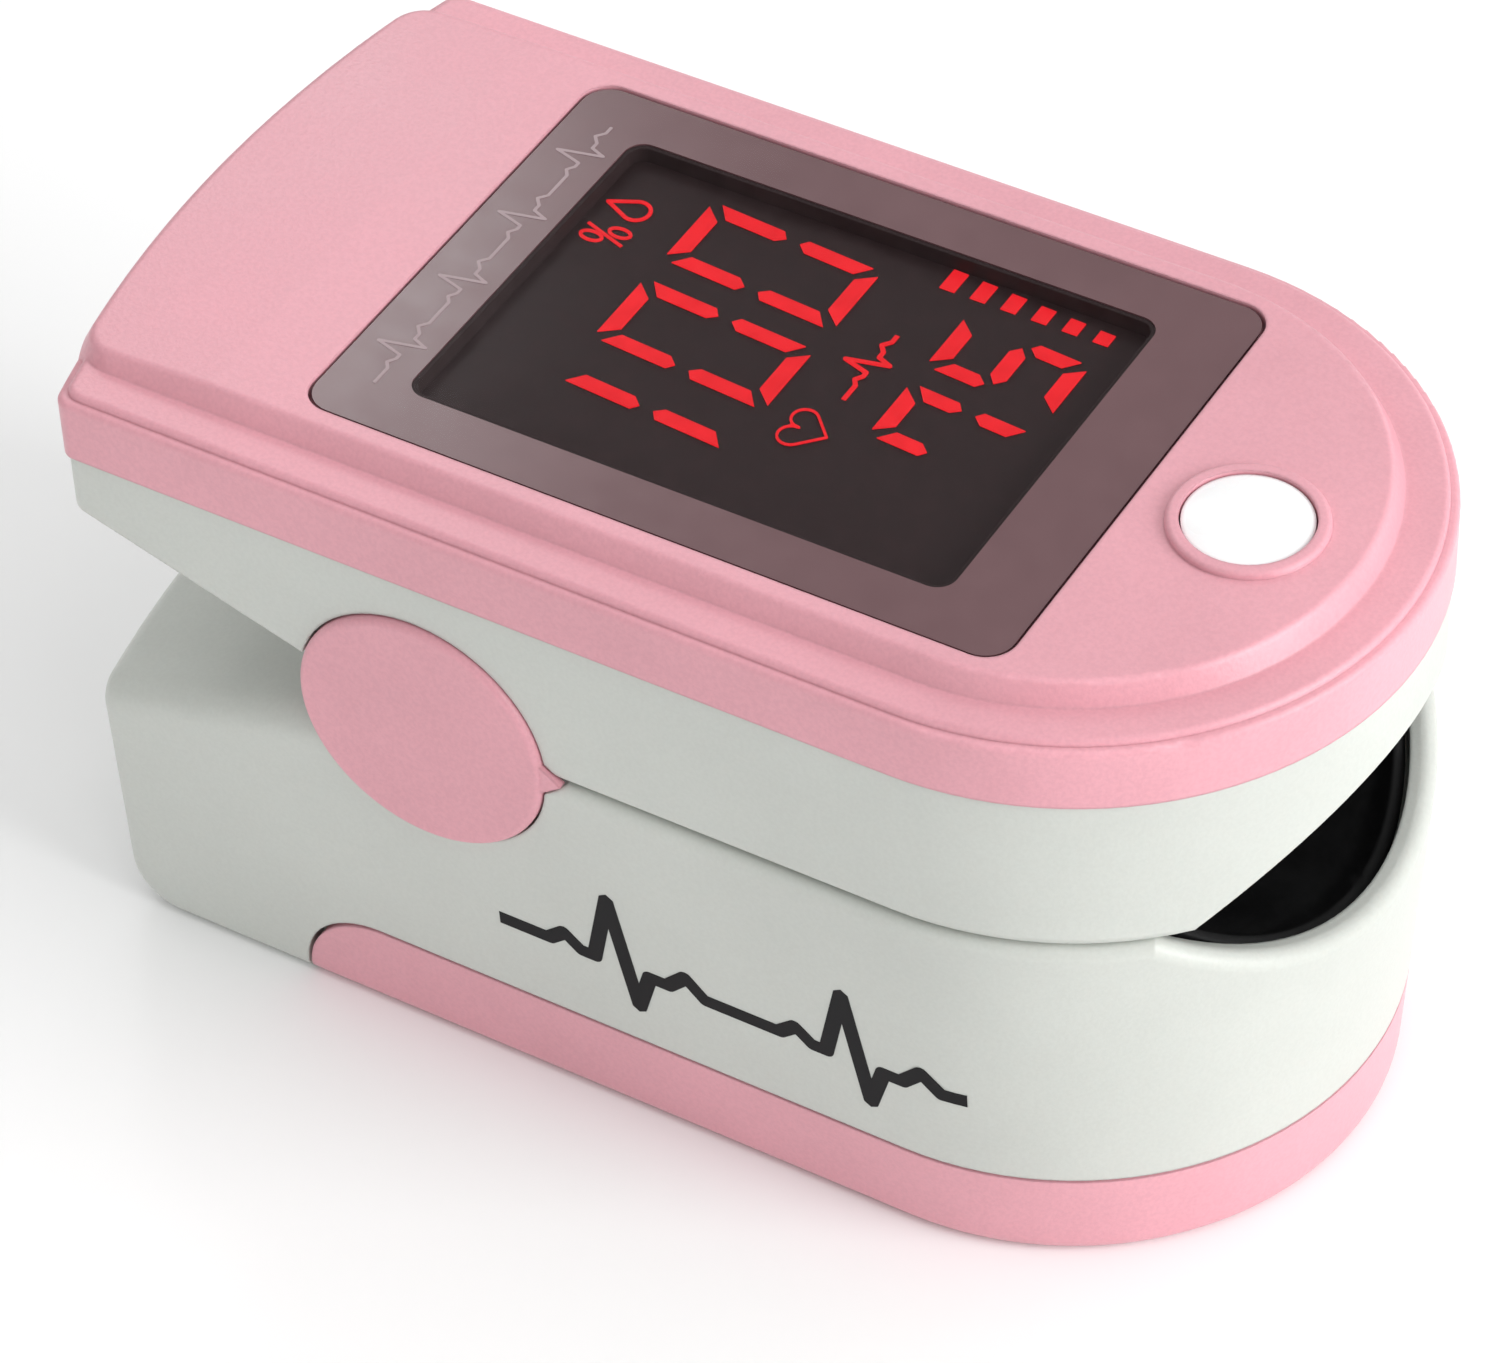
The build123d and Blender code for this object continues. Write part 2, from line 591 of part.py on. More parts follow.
def leg(start, end):
    """Straight round wire from start to end."""
    direction = Vector(*end) - Vector(*start)
    section = Plane(origin=start, z_dir=direction) * Circle(LEG_RADIUS)
    return extrude(section, direction.length)


# ================================================================ upper half
def upper_shell():
    mouth = (FINGER_STOP_X, FAR)
    shell = prism(UPPER_INSET, (UPPER_BOTTOM, PARTING - PARTING_GAP)) - below_upper_slope()
    shell -= arch(UPPER_RIM_RADIUS, UPPER_RIM_Z, mouth)
    shell = fillet(shell.edges().filter_by(on_upper_rim), UPPER_RIM_EDGE)
    pad_bed = arch(UPPER_PAD_RADIUS + PAD_THICKNESS, UPPER_PAD_Z + PAD_THICKNESS, mouth)
    shell -= pad_bed & prism(UPPER_RIM_WALL, (UPPER_BOTTOM - 1, CEILING_BOTTOM + 1))

    room = WALL + UPPER_INSET
    in_front = box((POCKET_REAR, FAR), (-FAR, FAR), (0, FAR))
    shell -= prism(room, (CEILING_TOP, FAR)) & in_front
    shell -= prism(room, (UPPER_BOTTOM, FAR)) - in_front - below_upper_slope(WALL)

    shell -= box((POCKET_REAR - SEAM_GAP, POCKET_FRONT), (-DISC_INNER, DISC_INNER), (0, CEILING_BOTTOM))
    for side in (-1, 1):
        inner, outer = sorted((side * UPPER_EAR[0], side * UPPER_EAR[1]))
        reach = (PIVOT_X - UPPER_EAR_RADIUS, PIVOT_X + UPPER_EAR_RADIUS)
        shell += box(reach, (inner, outer), (PIVOT_Z, CEILING_BOTTOM + 0.1))
        shell += rod_along_y(PIVOT_X, PIVOT_Z, UPPER_EAR_RADIUS, (inner, outer))
    shell -= disc_holes()
    shell -= pointer_notches()
    shell -= rod_along_y(PIVOT_X, PIVOT_Z, AXLE_RADIUS + RUNNING_FIT, (-FAR / 2, FAR / 2))

    for x, y in BOARD_POSTS:
        for side in (-1, 1):
            shell += rod(x, side * y, BOARD_POST_RADIUS, (CEILING_TOP - 0.1, BOARD_BOTTOM))
    for side in (-1, 1):
        y = side * SCREW_Y
        shell += rod(SCREW_X, y, PILLAR_RADIUS, (UPPER_BOTTOM, BOARD_BOTTOM)) - below_upper_slope()
        shell -= rod(SCREW_X, y, SCREW_HEAD_RADIUS + 0.2, (0, SCREW_HEAD_Z[1] + PARTING_GAP))
        shell -= rod(SCREW_X, y, SCREW_RADIUS + 0.1, (0, FAR))

    shell -= sensor_hole((UPPER_RIM_Z, FAR), -0.4)
    return shell - flex_slot((CEILING_BOTTOM - 0.1, CEILING_TOP + 0.1))


def on_upper_rim(edge):
    """Lower outer edge of the upper half, along the seam and round the finger mouth."""
    outside = abs(outer_distance(edge @ 0.5) - (WIDTH / 2 - UPPER_INSET)) < 0.06
    bounds = edge.bounding_box()
    return outside and bounds.max.X > 0 and bounds.max.Z < UPPER_RIM_Z + 0.1


def upper_pad_block():
    """Curved roof over the finger, without the hole for its window."""
    length = (FINGER_STOP_X + PAD_GAP, FAR)
    radius = UPPER_PAD_RADIUS + PAD_THICKNESS - PAD_GAP
    pad = arch(radius, UPPER_PAD_Z + PAD_THICKNESS - PAD_GAP, length)
    pad &= prism(UPPER_RIM_WALL + PAD_GAP, (UPPER_BOTTOM + 0.1, CEILING_BOTTOM + 1))
    return pad - arch(UPPER_PAD_RADIUS, UPPER_PAD_Z, (-FAR, FAR))


def upper_finger_pad():
    return upper_pad_block() - sensor_hole((0, HEIGHT))


def emitter_window():
    return upper_pad_block() & sensor_hole((0, HEIGHT), -PAD_GAP)


def emitter_led():
    """Two-colour lamp that shines down through its window: a flat base and a round lens."""
    bottom = UPPER_PAD_Z + PAD_THICKNESS
    x = (SENSOR_X - EMITTER_BASE[0] / 2, SENSOR_X + EMITTER_BASE[0] / 2)
    y = (-EMITTER_BASE[1] / 2, EMITTER_BASE[1] / 2)
    base = box(x, y, (bottom + EMITTER_DOME_HEIGHT, CEILING_TOP))
    return base + rod(SENSOR_X, 0, EMITTER_DOME_RADIUS, (bottom, bottom + EMITTER_DOME_HEIGHT + 0.1))


def emitter_board():
    x = (SENSOR_X - EMITTER_BOARD[0] / 2, SENSOR_X + EMITTER_BOARD[0] / 2)
    y = (-EMITTER_BOARD[1] / 2, EMITTER_BOARD[1] / 2)
    return box(x, y, (CEILING_TOP, CEILING_TOP + EMITTER_BOARD_THICKNESS))


def main_board():
    board = prism(MAIN_BOARD_INSET, (BOARD_BOTTOM, BOARD_TOP))
    return board & box((MAIN_BOARD_REAR, FAR), (-FAR, FAR), (0, FAR))


def board_chips():
    """Controller, memory and small passives on the underside of the main board."""
    chips = [box(x, y, (BOARD_BOTTOM - CHIP_HEIGHT, BOARD_BOTTOM)) for x, y in CHIPS]
    for column in range(PASSIVES):
        x = PASSIVE_START + PASSIVE_PITCH * column
        chips.append(box((x, x + PASSIVE_LENGTH), PASSIVE_Y, (BOARD_BOTTOM - PASSIVE_HEIGHT, BOARD_BOTTOM)))
    return Compound(children=chips)


def rounded_plate(x, half_width, corner, z):
    """A plate with rounded corners, from its x range and height range."""
    face = RectangleRounded(x[1] - x[0], 2 * half_width, corner)
    return extrude(Pos(sum(x) / 2, 0, z[0]) * face, z[1] - z[0])


def display_module():
    """Black display block: a flange on the board, and a face that fills the opening in the cover."""
    x = (SCREEN_X[0] - DISPLAY_FLANGE, SCREEN_X[1] + DISPLAY_FLANGE)
    y = (-SCREEN_HALF_WIDTH - DISPLAY_FLANGE, SCREEN_HALF_WIDTH + DISPLAY_FLANGE)
    flange = box(x, y, (BOARD_TOP, TOP_PLATE_BOTTOM - 0.1))
    face_x = (SCREEN_X[0] + SEAM_GAP, SCREEN_X[1] - SEAM_GAP)
    face_z = (BOARD_TOP + 1, LENS_SEAT - 0.1)
    return flange + rounded_plate(face_x, SCREEN_HALF_WIDTH - SEAM_GAP, SCREEN_CORNER, face_z)


def display_window():
    """Tinted lens over the display."""
    x = (WINDOW_X[0] + LENS_GAP, WINDOW_X[1] - LENS_GAP)
    z = (LENS_SEAT, HEIGHT - 0.05)
    lens = rounded_plate(x, WINDOW_HALF_WIDTH - LENS_GAP, WINDOW_CORNER - LENS_GAP, z)
    return chamfer(lens.faces().sort_by(Axis.Z)[-1].edges(), LENS_CHAMFER)


def plateau():
    """Raised top face: narrower than the cover, with leaning sides, flush with the tail."""
    spread = PLATEAU_ROOT * math.tan(math.radians(PLATEAU_TAPER))
    root = outline(WIDTH / 2 - LEDGE_WIDTH + spread, TAIL_RADIUS + spread, PLATEAU_CORNER + spread)
    bottom = LEDGE - PLATEAU_ROOT
    block = extrude(Pos(0, 0, bottom) * root, HEIGHT - bottom, taper=PLATEAU_TAPER)
    end = -FAR / 2
    block -= side_profile([
        (TAIL_FALL_START, HEIGHT),
        (TAIL_FALL_START, FAR),
        (end, FAR),
        (end, HEIGHT - TAIL_FALL),
    ])
    block = fillet(block.edges().filter_by(on_plateau_rim), PLATEAU_EDGE)
    return block & prism(0.0, (bottom, FAR))


def on_plateau_rim(edge):
    """Upper edge of the raised face, but not the crease where its tail starts to fall."""
    bounds = edge.bounding_box()
    across = bounds.max.X - bounds.min.X < 0.01 and abs(bounds.max.X - TAIL_FALL_START) < 0.01
    return bounds.min.Z > LEDGE + 0.3 and not across


def soft_top(block, radius):
    """The block with its upper outside edge rounded."""
    return fillet(block.faces().sort_by(Axis.Z)[-1].edges(), radius)


def top_cover():
    cover = soft_top(prism(0.0, (PARTING, LEDGE - LEDGE_LIP)), LEDGE_EDGE)
    cover += soft_top(prism(LEDGE_LIP_INSET, (PARTING, LEDGE)), LEDGE_EDGE)
    cover += plateau()

    cover -= prism(WALL, (PARTING - 1, TOP_PLATE_BOTTOM))
    cover -= rounded_plate(WINDOW_X, WINDOW_HALF_WIDTH, WINDOW_CORNER, (LENS_SEAT, FAR))
    cover -= rounded_plate(SCREEN_X, SCREEN_HALF_WIDTH, SCREEN_CORNER, (PARTING, FAR))

    collar = rod(BUTTON_X, 0, COLLAR_RADIUS, (HEIGHT - 0.1, HEIGHT + COLLAR_HEIGHT))
    cover += fillet(collar.edges().sort_by(Axis.Z)[-1], COLLAR_EDGE)
    cover -= rod(BUTTON_X, 0, BUTTON_HOLE_RADIUS, (PARTING, FAR))

    for side in (-1, 1):
        y = side * SCREW_Y
        cover += rod(SCREW_X, y, BOSS_RADIUS, (BOARD_BOTTOM + PARTING_GAP, TOP_PLATE_BOTTOM + 0.1))
        cover -= rod(SCREW_X, y, SCREW_RADIUS + FIXED_FIT, (BOARD_BOTTOM - 1, BOSS_HOLE_TOP))
    return cover


def power_button():
    """Round cap with a slightly domed top, held in by a flange under the cover."""
    cap = rod(BUTTON_X, 0, BUTTON_RADIUS, (BUTTON_NECK_BOTTOM, BUTTON_TOP))
    dome_radius = (BUTTON_RADIUS**2 + BUTTON_DOME**2) / (2 * BUTTON_DOME)
    cap &= Pos(BUTTON_X, 0, BUTTON_TOP - dome_radius) * Sphere(dome_radius)
    return cap + rod(BUTTON_X, 0, BUTTON_FLANGE_RADIUS, (BUTTON_FLANGE_BOTTOM, TOP_PLATE_BOTTOM - 0.1))


def switch_plunger():
    return rod(BUTTON_X, 0, PLUNGER_RADIUS, (PLUNGER_BOTTOM, BUTTON_FLANGE_BOTTOM))


def power_switch():
    """Push switch under the button, with a bore for its plunger."""
    x = (BUTTON_X - SWITCH_HALF_SIZE, BUTTON_X + SWITCH_HALF_SIZE)
    body = box(x, (-SWITCH_HALF_SIZE, SWITCH_HALF_SIZE), (BOARD_TOP, SWITCH_TOP))
    return body - rod(BUTTON_X, 0, PLUNGER_RADIUS + RUNNING_FIT, (SWITCH_BORE_BOTTOM, FAR))


def cover_screws():
    """Two self-tapping screws, driven up through the tail of the upper shell into the cover."""
    long, narrow = SCREW_CROSS
    cut_z = (SCREW_HEAD_Z[0] - 1, SCREW_CROSS_TOP)
    screws = []
    for side in (-1, 1):
        y = side * SCREW_Y
        head = rod(SCREW_X, y, SCREW_HEAD_RADIUS, SCREW_HEAD_Z)
        head = fillet(head.edges().sort_by(Axis.Z)[0], SCREW_HEAD_EDGE)
        screw = head + rod(SCREW_X, y, SCREW_RADIUS, (SCREW_HEAD_Z[1] - 0.1, SCREW_TIP))
        screw -= box((SCREW_X - long, SCREW_X + long), (y - narrow, y + narrow), cut_z)
        screw -= box((SCREW_X - narrow, SCREW_X + narrow), (y - long, y + long), cut_z)
        screws.append(screw)
    return Compound(children=screws)


# ================================================================ write every piece
PIECES = {
    "lower_shell": lower_shell,
    "lower_finger_pad": lower_finger_pad,
    "detector_window": detector_window,
    "photodetector": photodetector,
    "sensor_board": sensor_board,
    "flex_cable": flex_cable,
    "battery_near": lambda: battery(-1),
    "battery_far": lambda: battery(1),
    "rear_battery_contact": rear_contact,
    "front_contact_near": lambda: front_contact(-1),
    "front_contact_far": lambda: front_contact(1),
    "contact_spring_near": lambda: contact_spring(-1),
    "contact_spring_far": lambda: contact_spring(1),
    "battery_cover": battery_cover,
    "hinge_disc_near": lambda: hinge_disc(-1),
    "hinge_disc_far": lambda: hinge_disc(1),
    "hinge_axle": hinge_axle,
    "torsion_spring": torsion_spring,
    "upper_shell": upper_shell,
    "upper_finger_pad": upper_finger_pad,
    "emitter_window": emitter_window,
    "emitter_led": emitter_led,
    "emitter_board": emitter_board,
    "main_board": main_board,
    "board_chips": board_chips,
    "display_module": display_module,
    "display_window": display_window,
    "top_cover": top_cover,
    "power_button": power_button,
    "switch_plunger": switch_plunger,
    "power_switch": power_switch,
    "cover_screws": cover_screws,
}

os.makedirs("parts", exist_ok=True)
for name, build in PIECES.items():
    export_step(build(), f"parts/{name}.step")
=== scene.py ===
import json
import math

import bmesh
import bpy
from mathutils import Matrix, Vector


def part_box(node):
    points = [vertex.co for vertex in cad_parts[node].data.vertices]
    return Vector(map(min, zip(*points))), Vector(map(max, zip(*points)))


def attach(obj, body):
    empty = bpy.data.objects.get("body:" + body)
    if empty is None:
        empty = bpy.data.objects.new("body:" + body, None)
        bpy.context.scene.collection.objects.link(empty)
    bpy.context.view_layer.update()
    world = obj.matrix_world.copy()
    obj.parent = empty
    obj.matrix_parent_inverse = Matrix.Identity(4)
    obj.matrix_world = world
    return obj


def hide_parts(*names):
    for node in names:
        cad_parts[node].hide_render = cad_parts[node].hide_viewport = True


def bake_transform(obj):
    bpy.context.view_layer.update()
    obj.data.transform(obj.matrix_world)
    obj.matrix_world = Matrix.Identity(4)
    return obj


# Looks for a fingertip pulse oximeter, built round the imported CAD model.
# Sizes are in millimetres, which mm() turns into metres. In materials, modifiers and lights they
# are in metres.

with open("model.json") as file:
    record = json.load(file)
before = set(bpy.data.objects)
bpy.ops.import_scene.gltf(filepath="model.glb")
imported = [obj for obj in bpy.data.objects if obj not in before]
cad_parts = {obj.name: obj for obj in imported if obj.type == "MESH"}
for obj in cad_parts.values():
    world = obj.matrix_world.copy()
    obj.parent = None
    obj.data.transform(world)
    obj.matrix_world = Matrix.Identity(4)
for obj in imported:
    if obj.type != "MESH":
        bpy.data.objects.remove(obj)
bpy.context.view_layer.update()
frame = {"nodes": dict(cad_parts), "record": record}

# ---------------------------------------------------------------- facts about the object, in mm
PIVOT = (-9.35, 19.55)             # hinge axis: x and z
NOSE_X = 13.0                      # centre of the round nose
HALF_WIDTH = 15.5
SEAM_Z = 19.5                      # top of the lower half
DRAFT = math.radians(3.3)          # how the lower half's sides lean in
SENSOR_X = 8.0                     # middle of the sensors and of the windows over them
LOWER_PAD_RADIUS = 12.9            # trough that the finger lies in
LOWER_PAD_CREST = 14.12            # its lowest line
LOWER_PAD_END = 19.35              # height of its side edges
LOWER_PAD_FRONT = 13.95            # radius of its edge round the nose
UPPER_PAD_RADIUS = 13.9            # arch over the finger
UPPER_PAD_CREST = 23.9
UPPER_PAD_END = 19.85
UPPER_PAD_FRONT = 13.88
PAD_THICKNESS = 0.85
SCREEN_X = (-13.2, 12.2)           # clear part of the lens
SCREEN_HALF_WIDTH = 9.2
SCREEN_CORNER = 0.9

# ---------------------------------------------------------------- camera, as the photograph was taken
# angles in degrees, the rest in mm
CAMERA_AZIMUTH = 32.0
CAMERA_ELEVATION = 44.0
CAMERA_ROLL = -2.4
CAMERA_TARGET = (0.3, -5.0, 18.0)
CAMERA_DISTANCE = 260.7
CAMERA_LENS = 148.8
CAMERA_SENSOR = 36.0               # width of the camera's sensor


# ================================================================ helpers
def mm(*values):
    """Millimetres to metres, as a Vector."""
    return Vector([v / 1000 for v in values])


def box_mm(node):
    """The lowest and the highest corner of a CAD node, in millimetres."""
    return [[value * 1000 for value in corner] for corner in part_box(node)]


def outwards(azimuth, elevation):
    """Unit vector from the object towards a viewer or a light, for angles in degrees."""
    around = math.radians(azimuth)
    above = math.radians(elevation)
    level = math.cos(above)
    return Vector((math.sin(around) * level, -math.cos(around) * level, math.sin(above)))


def spaced(start, end, count):
    """Evenly spaced numbers from start up to end, without end itself."""
    return [start + (end - start) * i / count for i in range(count)]


def linear(red, green, blue):
    """An 0 to 255 screen colour as the linear colour that shaders use."""
    parts = []
    for value in (red, green, blue):
        share = value / 255
        parts.append(share / 12.92 if share <= 0.04045 else ((share + 0.055) / 1.055) ** 2.4)
    return (*parts, 1.0)


def add_mesh(name, points, faces, material, smooth=True):
    """A mesh object from points in millimetres."""
    mesh = bpy.data.meshes.new(name)
    mesh.from_pydata([tuple(mm(*p)) for p in points], [], faces)
    mesh.validate()
    tidy = bmesh.new()
    tidy.from_mesh(mesh)
    bmesh.ops.recalc_face_normals(tidy, faces=tidy.faces)
    tidy.to_mesh(mesh)
    tidy.free()
    for polygon in mesh.polygons:
        polygon.use_smooth = smooth
    obj = bpy.data.objects.new(name, mesh)
    bpy.context.scene.collection.objects.link(obj)
    if material:
        mesh.materials.append(material)
    return obj


def apply_modifiers(obj):
    """Turns the object's modifiers into its mesh."""
    graph = bpy.context.evaluated_depsgraph_get()
    graph.update()
    mesh = bpy.data.meshes.new_from_object(obj.evaluated_get(graph))
    obj.modifiers.clear()
    obj.data = mesh


def place(obj, body, slot, *replaced):
    """Attaches a finished piece to the body it rides on and hides the nodes it stands for; slot is not
    used.
    """
    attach(obj, body)
    if replaced:
        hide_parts(*replaced)


# ================================================================ materials
class Shader:
    """A material's node tree, with short calls for the nodes that the finishes below use."""

    def __init__(self, name):
        self.material = bpy.data.materials.new(name)
        self.material.use_nodes = True
        self.tree = self.material.node_tree
        self.tree.nodes.clear()
        self.output = self.node("ShaderNodeOutputMaterial")
        self.surface = self.node("ShaderNodeBsdfPrincipled")
        self.link(self.surface, "BSDF", self.output, "Surface")
        self.coordinates = self.node("ShaderNodeTexCoord")

    def node(self, kind, **settings):
        """A new node of this kind, with these settings."""
        made = self.tree.nodes.new(kind)
        for key, value in settings.items():
            setattr(made, key, value)
        return made

    def link(self, source, output, target, socket):
        """Joins a node's output to another node's input."""
        self.tree.links.new(source.outputs[output], target.inputs[socket])

    def noise(self, scale, detail=3.0, roughness=0.55, stretch=None):
        """Noise in object space; scale is in features per metre."""
        made = self.node("ShaderNodeTexNoise")
        made.inputs["Scale"].default_value = scale
        made.inputs["Detail"].default_value = detail
        made.inputs["Roughness"].default_value = roughness
        if stretch:
            mapping = self.node("ShaderNodeMapping")
            mapping.inputs["Scale"].default_value = stretch
            self.link(self.coordinates, "Object", mapping, "Vector")
            self.link(mapping, "Vector", made, "Vector")
        else:
            self.link(self.coordinates, "Object", made, "Vector")
        return made

    def ramp(self, source, output, stops):
        """A colour ramp over a value; stops are (position, colour)."""
        made = self.node("ShaderNodeValToRGB")
        elements = made.color_ramp.elements
        while len(elements) < len(stops):
            elements.new(0.5)
        for element, (position, colour) in zip(elements, stops):
            element.position = position
            element.color = colour
        self.link(source, output, made, "Fac")
        return made

    def remap(self, source, output, low, high, start=0.0, end=1.0):
        """Carries values between start and end over to values between low and high."""
        made = self.node("ShaderNodeMapRange")
        made.inputs["From Min"].default_value = start
        made.inputs["From Max"].default_value = end
        made.inputs["To Min"].default_value = low
        made.inputs["To Max"].default_value = high
        self.link(source, output, made, "Value")
        return made

    def mix(self, factor, first, second, blend="MIX"):
        """Mixes two colours; each is a node (its Color or Result) or a plain colour."""
        made = self.node("ShaderNodeMix", data_type="RGBA", blend_type=blend)
        if isinstance(factor, (int, float)):
            made.inputs[0].default_value = factor
        else:
            self.tree.links.new(factor.outputs[0], made.inputs[0])
        for socket, value in ((6, first), (7, second)):
            if isinstance(value, tuple):
                made.inputs[socket].default_value = value
            else:
                output = 2 if value.bl_idname == "ShaderNodeMix" else 0
                self.tree.links.new(value.outputs[output], made.inputs[socket])
        return made

    def colour(self, mixed):
        """Makes a mix of colours the surface's own colour."""
        self.tree.links.new(mixed.outputs[2], self.surface.inputs["Base Color"])

    def rounded(self, radius):
        """Normals that are rounded over sharp edges, radius in metres."""
        made = self.node("ShaderNodeBevel", samples=4)
        made.inputs["Radius"].default_value = radius
        return made

    def edges(self, rounded):
        """1 near sharp edges and 0 on open faces, from how far a rounded normal leans away."""
        plain = self.node("ShaderNodeNewGeometry")
        lean = self.node("ShaderNodeVectorMath", operation="DOT_PRODUCT")
        self.link(rounded, "Normal", lean, 0)
        self.link(plain, "Normal", lean, 1)
        return self.remap(lean, "Value", 1.0, 0.0, 0.80, 0.995)

    def relief(self, source, output, depth, rounded=None):
        """Bump of the given depth in metres, on rounded normals when they are given."""
        bump = self.node("ShaderNodeBump")
        bump.inputs["Strength"].default_value = 1.0
        bump.inputs["Distance"].default_value = depth
        self.link(source, output, bump, "Height")
        if rounded:
            self.link(rounded, "Normal", bump, "Normal")
        self.link(bump, "Normal", self.surface, "Normal")


def moulded_plastic(name, colour, roughness, grain=1.0, tone=0.06, glow=0.1, edge_highlight_strength=0.25):
    """Injection-moulded plastic: faint clouding, fine spark-eroded grain, and sharp edges painted
    lighter, partly as wear and partly as a painted highlight.
    """
    shader = Shader(name)
    clouds = shader.noise(90, detail=4)
    specks = shader.noise(5200, detail=2)
    lighter = tuple(min(1.0, c * (1 + tone)) for c in colour[:3]) + (1.0,)
    darker = tuple(c * (1 - tone) for c in colour[:3]) + (1.0,)
    clouded = shader.ramp(clouds, "Fac", [(0.30, darker), (0.70, lighter)])
    speck = 1 - tone
    speckled = shader.ramp(specks, "Fac", [(0.35, (speck, speck, speck, 1)), (0.65, (1.0, 1.0, 1.0, 1))])
    base = shader.mix(1.0, clouded, speckled, "MULTIPLY")
    # sharp edges are painted lighter and broken up by scuff noise: partly edge wear, partly a painted
    # highlight along the edges
    edge_wear_and_highlight = tuple(min(1.0, c * 1.12 + 0.02) for c in colour[:3]) + (1.0,)
    rounded = shader.rounded(0.00022)
    edge = shader.edges(rounded)
    scuffs = shader.noise(700, detail=5)
    scuffed_edge_highlight = shader.node("ShaderNodeMath", operation="MULTIPLY")
    shader.link(edge, "Result", scuffed_edge_highlight, 0)
    shader.link(shader.remap(scuffs, "Fac", 0.0, edge_highlight_strength, 0.35, 0.75), "Result", scuffed_edge_highlight, 1)
    shader.colour(shader.mix(scuffed_edge_highlight, base, edge_wear_and_highlight))
    rough = shader.remap(clouds, "Fac", roughness - 0.05, roughness + 0.07, 0.3, 0.7)
    shader.link(rough, "Result", shader.surface, "Roughness")
    shader.relief(specks, "Fac", 0.000012 * grain, rounded)
    shader.surface.inputs["Subsurface Weight"].default_value = glow
    shader.surface.inputs["Subsurface Radius"].default_value = (0.0012, 0.0008, 0.0007)
    shader.surface.inputs["Subsurface Scale"].default_value = 0.6
    shader.surface.inputs["Specular IOR Level"].default_value = 0.45
    return shader.material


def silicone_rubber(name, colour):
    """Soft black silicone: matte, dusty in random patches, with a faint moulded pebble."""
    shader = Shader(name)
    dust = shader.noise(420, detail=6, roughness=0.7)
    pebble = shader.noise(2600, detail=2)
    dusty = tuple(c * 2.0 + 0.004 for c in colour[:3]) + (1.0,)
    shader.colour(shader.mix(shader.remap(dust, "Fac", 0.0, 0.4, 0.45, 0.8), colour, dusty))
    rough = shader.remap(dust, "Fac", 0.46, 0.66, 0.3, 0.7)
    shader.link(rough, "Result", shader.surface, "Roughness")
    shader.relief(pebble, "Fac", 0.00002, shader.rounded(0.0002))
    shader.surface.inputs["Specular IOR Level"].default_value = 0.22
    return shader.material


def metal(name, colour, roughness, stretch=(1, 1, 1), scratch_scale=1800):
    """Bright metal with fine drawn scratches along one direction and slight tarnish."""
    shader = Shader(name)
    scratches = shader.noise(scratch_scale, detail=4, stretch=stretch)
    tarnish = shader.noise(500, detail=5)
    dull = tuple(c * 0.72 for c in colour[:3]) + (1.0,)
    shader.colour(shader.mix(shader.remap(tarnish, "Fac", 0.0, 0.6, 0.45, 0.8), colour, dull))
    rough = shader.remap(scratches, "Fac", roughness - 0.08, roughness + 0.14, 0.3, 0.7)
    shader.link(rough, "Result", shader.surface, "Roughness")
    shader.relief(scratches, "Fac", 0.000006)
    shader.surface.inputs["Metallic"].default_value = 1.0
    return shader.material


def circuit_board(name):
    """Green solder mask with faint copper tracks under it and tinned pads."""
    shader = Shader(name)
    tracks = shader.node("ShaderNodeTexBrick", offset=0.5)
    tracks.inputs["Scale"].default_value = 420
    tracks.inputs["Mortar Size"].default_value = 0.035
    tracks.inputs["Color1"].default_value = linear(18, 82, 48)
    tracks.inputs["Color2"].default_value = linear(22, 92, 54)
    tracks.inputs["Mortar"].default_value = linear(60, 128, 66)
    shader.link(shader.coordinates, "Object", tracks, "Vector")
    pads = shader.node("ShaderNodeTexVoronoi", feature="F1")
    pads.inputs["Scale"].default_value = 600
    shader.link(shader.coordinates, "Object", pads, "Vector")
    on_pad = shader.remap(pads, "Distance", 1.0, 0.0, 0.10, 0.13)
    shader.colour(shader.mix(on_pad, tracks, linear(200, 198, 190)))
    shader.link(shader.remap(on_pad, "Result", 0.45, 0.3), "Result", shader.surface, "Roughness")
    shader.relief(tracks, "Fac", 0.00002)
    return shader.material


def chip_plastic(name, colour, shine=0.5):
    """Black epoxy moulding, slightly mottled."""
    shader = Shader(name)
    mottle = shader.noise(1500, detail=5)
    paler = tuple(min(1.0, c * 1.6 + 0.01) for c in colour[:3]) + (1.0,)
    shader.colour(shader.mix(shader.remap(mottle, "Fac", 0.0, 0.5, 0.4, 0.7), colour, paler))
    shader.link(shader.remap(mottle, "Fac", 0.5, 0.72, 0.3, 0.7), "Result", shader.surface, "Roughness")
    shader.relief(mottle, "Fac", 0.00001, shader.rounded(0.0001))
    shader.surface.inputs["Specular IOR Level"].default_value = shine
    return shader.material


